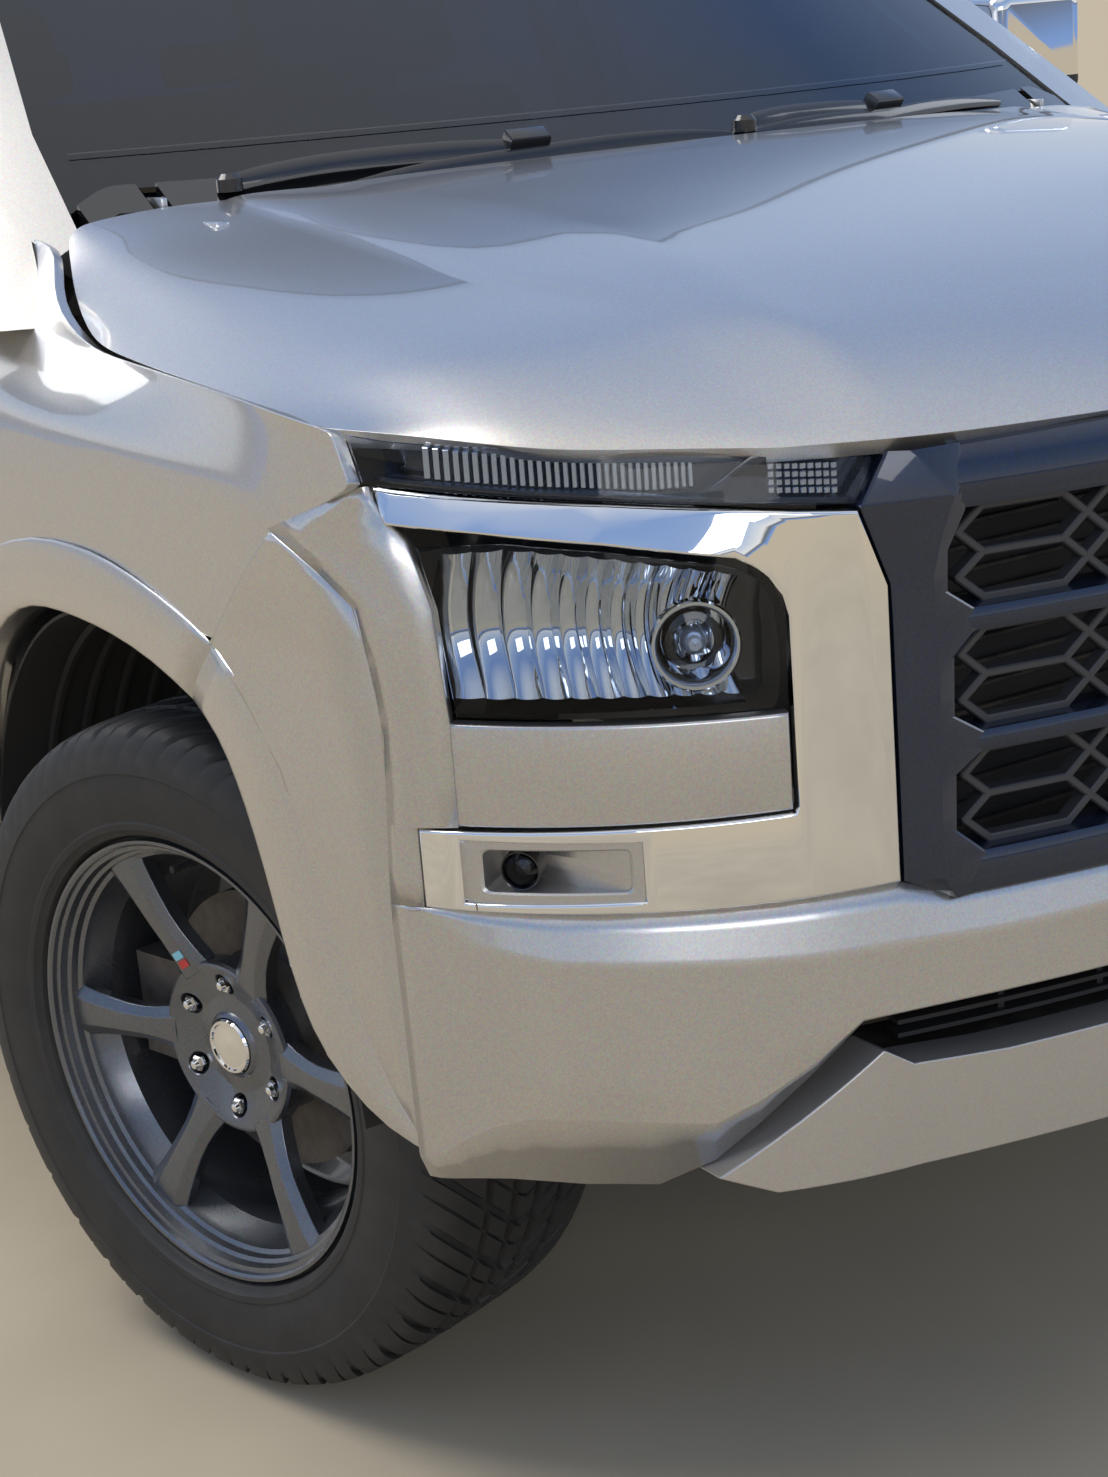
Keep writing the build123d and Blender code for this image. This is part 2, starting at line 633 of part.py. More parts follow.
grille_plate = front_piece(both_ways(GRILLE_OUTER), GRILLE_PROUD, 34)
grille_slots = [front_prism(both_ways([(0, high), (490, high), (516, high - 30), (516, low + 18), (490, low),
                                       (0, low)]), -1000, -600) for low, high in GRILLE_ROWS]
grille_surround = carved(grille_plate, *grille_slots)
keep(grille_surround, "grille_surround")
grille_bars = []
for low, high in GRILLE_ROWS:
    middle = (low + high) / 2
    grille_bars.append(front_piece([(-520, middle - 6), (520, middle - 6), (520, middle + 6),
                                    (-520, middle + 6)], -8, 30))
    for i in range(-4, 5):
        x = i * 120
        for lean in (-1, 1):
            grille_bars.append(front_piece([(x - 5, middle), (x + 5, middle), (x + lean * 40 + 5, high + 4),
                                            (x + lean * 40 - 5, high + 4)], -8, 30))
grille_mesh = joined(*grille_bars)

strip_lamp = front_piece(mirror_points(STRIP_TOP + STRIP_LOW), 0, 45)
headlamp = front_piece(mirror_points(HEADLAMP), -8, 90)
fog_hole = front_prism(mirror_points(FOG_BEZEL), -1000, -330)
chrome = carved(front_piece(mirror_points(CHROME), 4, 14), fog_hole)
fog_lamp = common(rod((-832, -700, 725), (-832, -600, 725), 18), nose_solid(-20, 600, 800))
fog_bezel = carved(front_piece(mirror_points(FOG_BEZEL), 4, 60),
                   front_piece(mirror_points([(858, 705), (858, 745), (772, 743), (772, 707)]), 10, 34),
                   fog_lamp)
fender = carved(fender, strip_lamp, chrome)
keep(both_sides(fender), "front_fenders")
keep(both_sides(strip_lamp), "strip_lamps")
keep(both_sides(headlamp), "headlamps")
keep(both_sides(chrome), "chrome_trims")
keep(both_sides(fog_bezel), "fog_bezels")
keep(both_sides(fog_lamp), "fog_lamps")

# Front bumper with its shelf, its lower opening and its skid plate
bumper_form = joined(nose_solid(0, BUMPER_LOW, 1042),
                     common(nose_solid(0, BUMPER_LOW, 700, bulge=SHELF_PROUD),
                            front_prism(both_ways([(0, 400), (900, 400), (900, 692)] + SHELF), -1000, -500)))
bumper_shell = carved(bumper_form, nose_solid(-BUMPER_THICK, BUMPER_LOW - 10, 1060))
bumper_side = side_prism([(-900, 1042), (-572, 1042), (-454, 997), (-319, 873), (-200, 700),
                          (-200, BUMPER_LOW), (-900, BUMPER_LOW)], -1000, 1000)
lamp_zone = both_ways([(0, 1100), (900, 1100), (897.5, 1041), (888.5, 1012), (880.5, 998), (870.5, 944),
                       (866.5, 851.5), (650.5, 847.5), (650.5, 762.5), (886.5, 760.5), (886.5, 689.5),
                       (565, 687.5), (528, 674.5), (0, 667.5)])
slot_zone = both_ways(LOWER_SLOT)
skid_zone = both_ways(SKID)
bumper = carved(common(bumper_shell, bumper_side), arch_front,
                front_prism(lamp_zone, -1000, -330), front_prism(slot_zone, -1000, -600),
                front_prism(skid_zone, -1000, -600))
bumper = joined(bumper, both_sides(common(flare_front, bumper_side)))
keep(bumper, "front_bumper")
skid = front_piece(skid_zone, 12, 30)
keep(carved(skid, bumper), "skid_plate")
lower_top = SLOT_TOP - SEAT_GAP
lower_grille = front_piece(both_ways([(0, lower_top), (596, lower_top), (578, 546), (556, 536), (0, 532)]),
                           -22, 34)
keep(joined(carved(grille_mesh, grille_surround), lower_grille), "grille_mesh")
radiator = block(-520, 520, -700, -660, RAIL_HIGH, 1000)
keep(radiator, "radiator")

# Load bed, tailgate and lamps
TAILGATE_HINGE_Z = BED_FLOOR_Z - 20 + TAILGATE_THICK / 2
TAILGATE_HINGE_Y = BED_REAR_Y - TAILGATE_THICK / 2
bed_outer = common(body_section(0, BED_FRONT_Y, BED_REAR_Y),
                   block(-1000, 1000, 2600, 4500, SILL_Z, BED_RAIL_Z))
arch_rear = both_sides(cross_cylinder(WHEELBASE, ARCH_Z, ARCH_REAR_RADIUS, -1000, -560))
bed_inside = block(-BED_HALF_INSIDE, BED_HALF_INSIDE, BED_FRONT_Y + BED_WALL, BED_REAR_Y - TAILGATE_THICK - 8,
                   BED_FLOOR_Z, 1300)
under_bed = block(-BED_HALF_INSIDE, BED_HALF_INSIDE, BED_FRONT_Y - 10, 4600, SILL_Z - 10, BED_FLOOR_Z - 70)
wheel_house = common(cross_cylinder(WHEELBASE, ARCH_Z, ARCH_REAR_RADIUS + 12, -BED_HALF_INSIDE - 1, -548),
                     block(-1000, -500, 2600, 3700, BED_FLOOR_Z - 80, 1000))
TAIL_LOW = 830.0
TAIL_HIGH = 1140.0
tail_lamp = common(carved(body_section(0, BED_REAR_Y - 90, BED_REAR_Y),
                          body_section(45, BED_REAR_Y - 100, BED_REAR_Y - 30)),
                   block(-1000, -TAILGATE_HALF - 30, BED_REAR_Y - 90, BED_REAR_Y, TAIL_LOW, TAIL_HIGH))
bed_flare = cross_cylinder(WHEELBASE, ARCH_Z, ARCH_REAR_RADIUS + FLARE_WIDTH, -HALF_WIDTH - FLARE_PROUD,
                           -HALF_WIDTH + BED_WALL)
bed_flare = common(carved(bed_flare, arch_rear), block(-1000, -800, BED_FRONT_Y, BED_REAR_Y, 570, 1000))
tailgate_way = block(-TAILGATE_HALF - SHUT_GAP, TAILGATE_HALF + SHUT_GAP, BED_REAR_Y - TAILGATE_THICK - 8,
                     BED_REAR_Y + 10, BED_FLOOR_Z - 30, 1300)
bed = joined(carved(bed_outer, bed_inside, under_bed), both_sides(joined(wheel_house, bed_flare)))
bed = carved(bed, arch_rear, both_sides(tail_lamp), tailgate_way)
hinge_bore = both_sides(cross_cylinder(TAILGATE_HINGE_Y, TAILGATE_HINGE_Z, 10 + RUNNING_FIT,
                                       -TAILGATE_HALF - 1, -TAILGATE_HALF + 26))
hinge_pin = both_sides(cross_cylinder(TAILGATE_HINGE_Y, TAILGATE_HINGE_Z, 10, -TAILGATE_HALF - SHUT_GAP - 1,
                                      -TAILGATE_HALF + 25))
bed = joined(bed, hinge_pin)
keep(bed, "load_bed")
keep(both_sides(tail_lamp), "tail_lamps")
tailgate = joined(block(-TAILGATE_HALF, TAILGATE_HALF, BED_REAR_Y - TAILGATE_THICK, BED_REAR_Y,
                        TAILGATE_HINGE_Z, BED_RAIL_Z),
                  cross_cylinder(TAILGATE_HINGE_Y, TAILGATE_HINGE_Z, TAILGATE_THICK / 2, -TAILGATE_HALF,
                                 TAILGATE_HALF))
keep(carved(tailgate, hinge_bore), "tailgate")
rear_bumper = carved(block(-900, 900, BED_REAR_Y + 12, BED_REAR_Y + 90, 450, 600),
                     block(-840, 840, BED_REAR_Y + 5, BED_REAR_Y + 70, 440, 585))
bracket = block(RAIL_IN, RAIL_OUT, BED_REAR_Y + 12, BED_REAR_Y + 71, RAIL_LOW + 60, RAIL_HIGH)
keep(joined(rear_bumper, both_sides(bracket)), "rear_bumper")

# Ladder frame
SPARE_Y = 3780.0
SPARE_Z = 350.0
SPARE_RADIUS = 345.0
RAIL_KICK = 76.0
rail = side_prism([(-760, RAIL_LOW), (-760, RAIL_HIGH), (2600, RAIL_HIGH), (2860, RAIL_HIGH + 56),
                   (BED_REAR_Y + 12, RAIL_HIGH + 56), (BED_REAR_Y + 12, RAIL_LOW + RAIL_KICK),
                   (2900, RAIL_LOW + RAIL_KICK), (2640, RAIL_LOW)], RAIL_IN, RAIL_OUT)
# columns: station, low z, high z
CROSS_MEMBERS = [(-640, 420, 500), (-120, 420, 500), (1000, 380, 409.7), (1700, 484, 516), (2450, 450, 510),
                 (3330, 490, 560), (SPARE_Y, 490, 560), (4100, 490, 560)]
cross = [block(-RAIL_IN, RAIL_IN, y - 40, y + 40, low, high) for y, low, high in CROSS_MEMBERS]
bumper_beam = front_piece([(-600, 445), (600, 445), (600, 520), (-600, 520)], -BUMPER_THICK - SEAT_GAP, 100)
cab_mounts = [block(RAIL_IN, RAIL_OUT, y - 40, y + 40, RAIL_HIGH, FLOOR_Z - FLOOR_THICK)
              for y in (520, 1150, 1900, 2380)]
bed_mounts = [block(RAIL_IN, RAIL_OUT, y - 40, y + 40, RAIL_HIGH + 56, BED_FLOOR_Z - 70)
              for y in (2910, 3650, 4200)]
spare_hanger = joined(rod((0, SPARE_Y, SPARE_Z - 8), (0, SPARE_Y, 500), 10),
                      rod((0, SPARE_Y, SPARE_Z - 8), (0, SPARE_Y, SPARE_Z - SEAT_GAP), HUB_RADIUS + 15))
rails = both_sides(joined(rail, *cab_mounts, *bed_mounts))
keep(joined(rails, bumper_beam, spare_hanger, *cross), "ladder_frame")

# Power train
engine_mount = block(-RAIL_OUT + 10, RAIL_OUT - 10, -230, -150, RAIL_HIGH, 566)
keep(joined(block(-240, 240, -330, 285, 560, 1080), engine_mount), "engine")
keep(joined(block(-150, 150, 286, 860, 400, 535), rod((0, 860, 470), (0, 1250, 470), 60)), "gearbox")
propeller_shaft = rod((0, 1252, 470), (0, WHEELBASE - 128, TYRE_RADIUS + 6), 34)
keep(propeller_shaft, "propeller_shaft")
keep(block(-RAIL_IN + SEAT_GAP, -120, 1750, 2350, 330, 482), "fuel_tank")

# Exhaust: a pipe, a muffler at the cross member and a tail pipe under the left rail
EXHAUST_X = 255.0
EXHAUST_RADIUS = 25.0
muffler = block(EXHAUST_X - 95, EXHAUST_X + 95, 1740 + SEAT_GAP, 2385, 405, 500)
exhaust = joined(muffler, rod((EXHAUST_X, 900, 455), (EXHAUST_X, 1760, 450), EXHAUST_RADIUS),
                 rod((EXHAUST_X, 2370, 432), (EXHAUST_X, 2500, 365), EXHAUST_RADIUS),
                 rod((EXHAUST_X, 2500, 365), (870, 2600, 365), EXHAUST_RADIUS))
keep(exhaust, "exhaust")

# Spare wheel under the bed, held up by a plate on a hanger
with BuildPart() as spare:
    with BuildSketch(Plane.XZ):
        with BuildLine():
            Polyline((HUB_RADIUS, 0), (BARREL_RADIUS, 0), (BARREL_RADIUS, -60), (BEAD_RADIUS, -80), (300, -90),
                     (SPARE_RADIUS - 8, -78), (SPARE_RADIUS, -50), (SPARE_RADIUS, 50), (SPARE_RADIUS - 8, 78),
                     (300, 90), (BEAD_RADIUS, 80), (BARREL_RADIUS, 60), (BARREL_RADIUS, 12), (HUB_RADIUS, 12),
                     close=True)
        make_face()
    revolve(axis=Axis.Z)
keep(spare.part.moved(Pos(0, SPARE_Y, SPARE_Z)), "spare_wheel")

# Rear axle
axle_tube = cross_cylinder(WHEELBASE, TYRE_RADIUS, 42, -TRACK / 2 + 90, TRACK / 2 - 90)
with BuildPart() as diff:
    with Locations((0, WHEELBASE, TYRE_RADIUS)):
        Sphere(130)
spindle_end = TRACK / 2 + HUB_FACE + 20
spindles = cross_cylinder(WHEELBASE, TYRE_RADIUS, SPINDLE_RADIUS, -spindle_end, spindle_end)
leaf = block(505, 570, WHEELBASE - 640, WHEELBASE + 640, TYRE_RADIUS + 42, TYRE_RADIUS + 72)
hangers = [block(RAIL_OUT, 575, y - 22, y + 22, TYRE_RADIUS + 42, RAIL_HIGH - 20)
           for y in (WHEELBASE - 640, WHEELBASE + 640)]
springs = both_sides(joined(leaf, *hangers))
drums = both_sides(cross_cylinder(WHEELBASE, TYRE_RADIUS, 150, -TRACK / 2 - HUB_FACE + SEAT_GAP,
                                  -TRACK / 2 + 70))
keep(carved(joined(axle_tube, diff.part, spindles, drums), propeller_shaft), "rear_axle")
keep(springs, "leaf_springs")


# Wheels: made about the X axis with the outer face towards +X
def rim():
    """A six spoke wheel: a stepped barrel, dished spokes and a hub with a pocket for each nut."""
    with BuildPart() as barrel:
        with BuildSketch(Plane.XZ):
            with BuildLine():
                Polyline((-RIM_HALF, BEAD_RADIUS), (-RIM_HALF, FLANGE_RADIUS), (-RIM_HALF + 10, FLANGE_RADIUS),
                         (-RIM_HALF + 12, BEAD_RADIUS), (-60, BEAD_RADIUS - 8), (-40, BARREL_RADIUS),
                         (50, BARREL_RADIUS), (70, BEAD_RADIUS - 8), (RIM_HALF - 12, BEAD_RADIUS),
                         (RIM_HALF - 10, FLANGE_RADIUS), (RIM_HALF, FLANGE_RADIUS), (RIM_HALF, BEAD_RADIUS - 6),
                         (78, BEAD_RADIUS - 20), (56, BARREL_RADIUS - 10), (-46, BARREL_RADIUS - 10),
                         (-66, BEAD_RADIUS - 18), close=True)
            make_face()
        revolve(axis=Axis.X)
    with BuildPart() as spokes:
        with BuildSketch(Plane.XZ):
            with BuildLine():
                Polyline((HUB_FACE, 0), (HUB_FACE, HUB_RADIUS - 4), (HUB_FACE + 14, HUB_RADIUS + 28),
                         (58, BARREL_RADIUS - 2), (80, BEAD_RADIUS - 13), (94, BEAD_RADIUS - 8),
                         (84, 150), (72, HUB_RADIUS + 13), (58, 56), (64, CAP_RADIUS + 2), (66, CAP_RADIUS),
                         (69, 0), close=True)
            make_face()
        revolve(axis=Axis.X)
        with BuildSketch(Plane.YZ):
            Circle(HUB_RADIUS + 6)
            with PolarLocations(0, SPOKES):
                Polygon((70, -30), (140, -20), (BEAD_RADIUS, -31), (BEAD_RADIUS, 31), (140, 20), (70, 30),
                        align=None)
        extrude(amount=RIM_HALF, mode=Mode.INTERSECT)
        with BuildSketch(Plane.YZ.offset(HUB_FACE + 12)):
            with PolarLocations(NUT_CIRCLE, SPOKES, start_angle=30):
                Circle(NUT_POCKET)
        extrude(amount=RIM_HALF, mode=Mode.SUBTRACT)
        with BuildSketch(Plane.YZ.offset(HUB_FACE)):
            Circle(SPINDLE_RADIUS + RUNNING_FIT)
        extrude(amount=24, mode=Mode.SUBTRACT)
        add(barrel.part)
    return spokes.part


def tyre():
    """A tyre on the wheel's bead seats."""
    w = TYRE_WIDTH / 2
    with BuildPart() as ring:
        with BuildSketch(Plane.XZ):
            with BuildLine():
                Polyline((-RIM_HALF + 13, BEAD_RADIUS + SEAT_GAP), (-RIM_HALF + 10.5, FLANGE_RADIUS + 2),
                         (-RIM_HALF - 2, FLANGE_RADIUS + 6), (-w, 300),
                         (-w + 3, 330), (-w + 18, TYRE_RADIUS - 8), (-w + 45, TYRE_RADIUS),
                         (w - 45, TYRE_RADIUS), (w - 18, TYRE_RADIUS - 8), (w - 3, 330), (w, 300),
                         (RIM_HALF + 2, FLANGE_RADIUS + 6), (RIM_HALF - 10.5, FLANGE_RADIUS + 2),
                         (RIM_HALF - 13, BEAD_RADIUS + SEAT_GAP), (RIM_HALF - 26, BEAD_RADIUS + SEAT_GAP),
                         (100, 330), (-100, 330), (-RIM_HALF + 26, BEAD_RADIUS + SEAT_GAP), close=True)
            make_face()
        revolve(axis=Axis.X)
    return ring.part


def brake_disc():
    """A brake disc with its hat against the wheel's hub."""
    with BuildPart() as disc:
        with BuildSketch(Plane.XZ):
            with BuildLine():
                Polyline((-16, 95), (-16, DISC_RADIUS), (-16 + DISC_THICK, DISC_RADIUS), (-16 + DISC_THICK, 90),
                         (HUB_FACE, 78), (HUB_FACE, SPINDLE_RADIUS + 12), (HUB_FACE - 8, SPINDLE_RADIUS + 12),
                         (HUB_FACE - 8, 70), (0, 84), (0, 95), close=True)
            make_face()
        revolve(axis=Axis.X)
    return disc.part


def knuckle():
    """The steering knuckle, from its lower to its upper ball joint, with its spindle."""
    k = KINGPIN_X - TRACK / 2
    with BuildPart() as piece:
        add(block(k - 22, k + 22, -30, 30, -125, 150))
        add(cross_cylinder(0, 0, 62, k - 20, -30))
        add(cross_cylinder(0, 0, SPINDLE_RADIUS, -31, HUB_FACE + 20))
        add(block(k - 15, k + 15, 0, 150, -50, -25))
        add(rod((k, 0, -126), (k, 0, -100), BALL_PIN_RADIUS + RUNNING_FIT), mode=Mode.SUBTRACT)
        add(rod((k, 0, 125), (k, 0, 151), BALL_PIN_RADIUS + RUNNING_FIT), mode=Mode.SUBTRACT)
    return piece.part


def caliper():
    """The brake caliper, round the disc's rear edge."""
    body = block(-42, 34, 95, 185, -60, 60)
    slot = block(-22, 14, 60, DISC_RADIUS + 6, -70, 70)
    lug = block(-75, -41, 50, 110, -22, 40)
    return carved(joined(carved(body, slot), lug), knuckle())


wheel_parts = {"rim": rim(), "tyre": tyre(), "brake_disc": brake_disc()}
knuckle_shape = joined(knuckle(), caliper())
for side, sign in (("right", -1), ("left", 1)):
    face = Rot(0, 0, 180) if sign < 0 else Rot(0, 0, 0)
    hub = Pos(sign * TRACK / 2, 0, TYRE_RADIUS)
    kingpin = Pos(sign * KINGPIN_X, 0, 0)
    steer = kingpin * Rot(0, 0, STEER_AT_REST) * Pos(-sign * KINGPIN_X, 0, 0)
    for name, shape in wheel_parts.items():
        keep(shape.moved(steer * hub * face), f"{name}_front_{side}")
        if name != "brake_disc":
            keep(shape.moved(Pos(0, WHEELBASE, 0) * hub * face), f"{name}_rear_{side}")
    placed = knuckle_shape if sign > 0 else mirrored(knuckle_shape)
    keep(placed.moved(steer * hub), f"knuckle_{side}")

# Front suspension arms, fixed at ride height
lower_arm = [(KINGPIN_X + 20, -35), (KINGPIN_X + 20, 35), (RAIL_OUT, 180), (RAIL_OUT, -180)]
lower = plan_prism(lower_arm, TYRE_RADIUS - 165, TYRE_RADIUS - 130)
upper = plan_prism([(KINGPIN_X + 15, -30), (KINGPIN_X + 15, 30), (RAIL_OUT, 120), (RAIL_OUT, -120)],
                   TYRE_RADIUS + 155, TYRE_RADIUS + 180)
pivot = block(RAIL_IN, RAIL_OUT, -190, 190, TYRE_RADIUS - 165, RAIL_LOW)
tower = block(RAIL_IN, RAIL_OUT, -130, 130, RAIL_HIGH, TYRE_RADIUS + 185)
strut = rod((560, 0, TYRE_RADIUS - 131), (500, 0, TYRE_RADIUS + 170), 45)
pins = [rod((KINGPIN_X, 0, TYRE_RADIUS - 131), (KINGPIN_X, 0, TYRE_RADIUS - 104), BALL_PIN_RADIUS),
        rod((KINGPIN_X, 0, TYRE_RADIUS + 129), (KINGPIN_X, 0, TYRE_RADIUS + 156), BALL_PIN_RADIUS)]
keep(both_sides(joined(lower, upper, pivot, tower, strut, *pins)), "front_suspension")

# Arch liners
def liner(y, radius, x_from, x_to):
    """A curved liner over a wheel on the right."""
    ring = carved(cross_cylinder(y, ARCH_Z, radius - SEAT_GAP, -x_to, -x_from),
                  cross_cylinder(y, ARCH_Z, radius - LINER_THICK, -x_to - 1, -x_from + 1))
    return common(ring, block(-1000, 0, y - 600, y + 600, ARCH_Z + 60, 1000))


keep(both_sides(liner(0, ARCH_FRONT_RADIUS, 560, 900)), "front_arch_liners")

# Seats, dashboard and steering wheel
def seat(x, y):
    """One seat: cushion, backrest and headrest."""
    return joined(block(x - 250, x + 250, y, y + 500, FLOOR_Z, FLOOR_Z + 330),
                  side_prism([(y + 400, FLOOR_Z + 330), (y + 520, FLOOR_Z + 330), (y + 700, FLOOR_Z + 900),
                              (y + 600, FLOOR_Z + 900)], x - 240, x + 240))


keep(joined(seat(-370, 1000), seat(370, 1000)), "front_seats")
keep(joined(block(-640, 640, 1900, 2350, FLOOR_Z, FLOOR_Z + 330),
            side_prism([(2280, FLOOR_Z + 330), (2400, FLOOR_Z + 330), (2500, FLOOR_Z + 820), (2420, FLOOR_Z + 820)],
                       -640, 640)), "rear_bench")
dashboard = common(side_prism([(360, 900), (700, 930), (720, 1080), (640, 1140), (360, 1150)], -780, 780),
                   cab_inside)
keep(dashboard, "dashboard")
with BuildPart() as steering:
    with Locations(Plane(origin=(-370, 860, 1130), z_dir=(0, 0.9, 0.45))):
        Torus(185, 15)
        Box(370, 40, 20)
keep(carved(joined(steering.part, rod((-370, 855, 1127), (-370, 640, 1020), 22)), dashboard), "steering_wheel")

# Wipers, parked along the screen's base, from each pivot to the blade's end
WIPER_HEIGHT = 16.0


def on_screen(x, y, height):
    """A point over the windscreen's face at a place in plan."""
    bow = SCREEN_RADIUS - (SCREEN_RADIUS**2 - x**2) ** 0.5
    return (x, y, SCREEN_BASE_Z + (y - bow - SCREEN_BASE_Y) * SCREEN_RISE + height)


wipers = []
for route in ([(-584, 285), (-235, 207), (44, 192)], [(70, 192), (314, 218), (567, 285)]):
    stops = [on_screen(x, y, WIPER_HEIGHT) for x, y in route]
    pivot = min(route, key=lambda place: place[0])
    shapes = [rod(start, end, 7) for start, end in zip(stops, stops[1:])]
    shapes.append(rod(on_screen(pivot[0], pivot[1], WIPER_HEIGHT), on_screen(pivot[0], pivot[1], 0), 11))
    wipers.append(joined(*shapes))
keep(carved(joined(*wipers), cowl, cab_shell), "wipers")
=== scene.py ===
import bpy
import bmesh
import json
import math
from mathutils import Vector, Matrix


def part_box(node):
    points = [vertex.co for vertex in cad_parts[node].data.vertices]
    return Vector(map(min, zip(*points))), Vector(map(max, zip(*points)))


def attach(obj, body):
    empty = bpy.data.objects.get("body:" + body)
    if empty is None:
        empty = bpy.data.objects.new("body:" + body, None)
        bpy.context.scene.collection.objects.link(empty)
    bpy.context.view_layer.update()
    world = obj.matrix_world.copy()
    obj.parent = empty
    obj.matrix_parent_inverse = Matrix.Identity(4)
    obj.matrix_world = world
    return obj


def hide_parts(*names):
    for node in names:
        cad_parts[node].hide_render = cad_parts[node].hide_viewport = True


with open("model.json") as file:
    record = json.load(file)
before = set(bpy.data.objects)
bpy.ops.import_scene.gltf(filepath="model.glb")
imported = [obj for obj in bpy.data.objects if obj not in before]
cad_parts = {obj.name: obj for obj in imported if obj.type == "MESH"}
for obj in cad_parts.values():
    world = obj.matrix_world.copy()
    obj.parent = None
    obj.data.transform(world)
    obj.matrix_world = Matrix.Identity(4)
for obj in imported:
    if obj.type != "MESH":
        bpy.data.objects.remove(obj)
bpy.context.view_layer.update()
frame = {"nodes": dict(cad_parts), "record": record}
nodes = frame["nodes"]

# Places are in millimetres, with Y counted rearward from the front axle, as in the part's own model.
# to_truck brings them into the shared frame, in metres.
FRONT_AXLE = -1773.0
to_truck = Matrix.Diagonal((0.001, 0.001, 0.001, 1.0)) @ Matrix.Translation((0, FRONT_AXLE, 0))

# Camera: low and close at the truck's right front corner
yaw, pitch, roll = math.radians(31.54), math.radians(16.63), math.radians(-4.48)
FOCAL_PIXELS, PHOTO_PIXELS, SENSOR = 2415, 1477, 36
forward = Vector((math.sin(yaw) * math.cos(pitch), math.cos(yaw) * math.cos(pitch), -math.sin(pitch)))
level = Vector((math.cos(yaw), -math.sin(yaw), 0))
above = level.cross(forward)
right = math.cos(roll) * level + math.sin(roll) * above
up = math.cos(roll) * above - math.sin(roll) * level
camera_data = bpy.data.cameras.new("camera")
camera_data.lens = FOCAL_PIXELS / PHOTO_PIXELS * SENSOR
camera_data.sensor_width = SENSOR
camera_data.clip_start = 0.05
camera = bpy.data.objects.new("camera", camera_data)
bpy.context.scene.collection.objects.link(camera)
camera.matrix_world = Matrix((right, up, -forward)).transposed().to_4x4()
camera.location = (-1.768, -4.016, 1.386)
bpy.context.scene.camera = camera

# Light: a pale studio with one large lamp high at the truck's right and a softer one in front
bpy.context.scene.view_settings.view_transform = "Standard"


def soft_lamp(name, place, aim, size, power, colour):
    lamp = bpy.data.lights.new(name, "AREA")
    lamp.shape = "RECTANGLE"
    lamp.size, lamp.size_y = size
    lamp.energy = power
    lamp.color = colour
    holder = bpy.data.objects.new(name, lamp)
    bpy.context.scene.collection.objects.link(holder)
    holder.location = place
    holder.rotation_mode = "QUATERNION"
    holder.rotation_quaternion = (Vector(aim) - Vector(place)).to_track_quat("-Z", "Y")


soft_lamp("key_lamp", (-3.6, 2.2, 8.0), (0, -1.6, 0.5), (5.0, 5.0), 500, (1.0, 0.95, 0.88))
soft_lamp("front_lamp", (-3.0, -9.0, 3.6), (0, -1.5, 0.7), (5.0, 2.0), 95, (1.0, 0.97, 0.93))
soft_lamp("left_lamp", (7.0, -3.0, 4.5), (0, 0, 0.8), (4.0, 3.0), 90, (0.96, 0.98, 1.0))


def feed(tree, node, inputs):
    """Give a node's inputs their values, or the outputs that drive them."""
    for socket, value in inputs.items():
        if isinstance(value, bpy.types.NodeSocket):
            tree.links.new(value, node.inputs[socket])
        else:
            node.inputs[socket].default_value = value


def add(tree, kind, inputs={}, **settings):
    """A new shader node with its settings and its inputs."""
    node = tree.nodes.new("ShaderNode" + kind)
    for name, value in settings.items():
        setattr(node, name, value)
    feed(tree, node, inputs)
    return node


# World: what the truck mirrors is a sky over dry ground, and the camera sees a plain pale backdrop
BACKDROP = (0.56, 0.49, 0.38, 1)
SKY_STOPS = [(0.0, (0.50, 0.45, 0.38, 1)), (0.495, (0.24, 0.40, 0.78, 1)), (0.515, (0.16, 0.16, 0.16, 1)),
             (0.53, (0.90, 0.91, 0.93, 1)), (0.62, (0.50, 0.63, 0.86, 1)), (0.80, (0.26, 0.40, 0.72, 1)),
             (1.0, (1, 1, 1, 1))]
world = bpy.data.worlds.new("studio")
bpy.context.scene.world = world
world.use_nodes = True
sky = world.node_tree
sky.nodes.clear()
split = add(sky, "SeparateXYZ", {0: add(sky, "TexCoord").outputs["Generated"]})
height = add(sky, "Math", {0: split.outputs["Z"], 1: 0.5, 2: 0.5}, operation="MULTIPLY_ADD")
ramp = add(sky, "ValToRGB", {0: height.outputs[0]})
for stop, colour in SKY_STOPS[1:-1]:
    ramp.color_ramp.elements.new(stop)
for element, (stop, colour) in zip(ramp.color_ramp.elements, SKY_STOPS):
    element.color = colour
mirrored = add(sky, "Background", {"Color": ramp.outputs[0], "Strength": 0.92})
pale = add(sky, "Background", {"Color": BACKDROP})
seen = add(sky, "LightPath").outputs["Is Camera Ray"]
choice = add(sky, "MixShader", {0: seen, 1: mirrored.outputs[0], 2: pale.outputs[0]})
add(sky, "OutputWorld", {0: choice.outputs[0]})


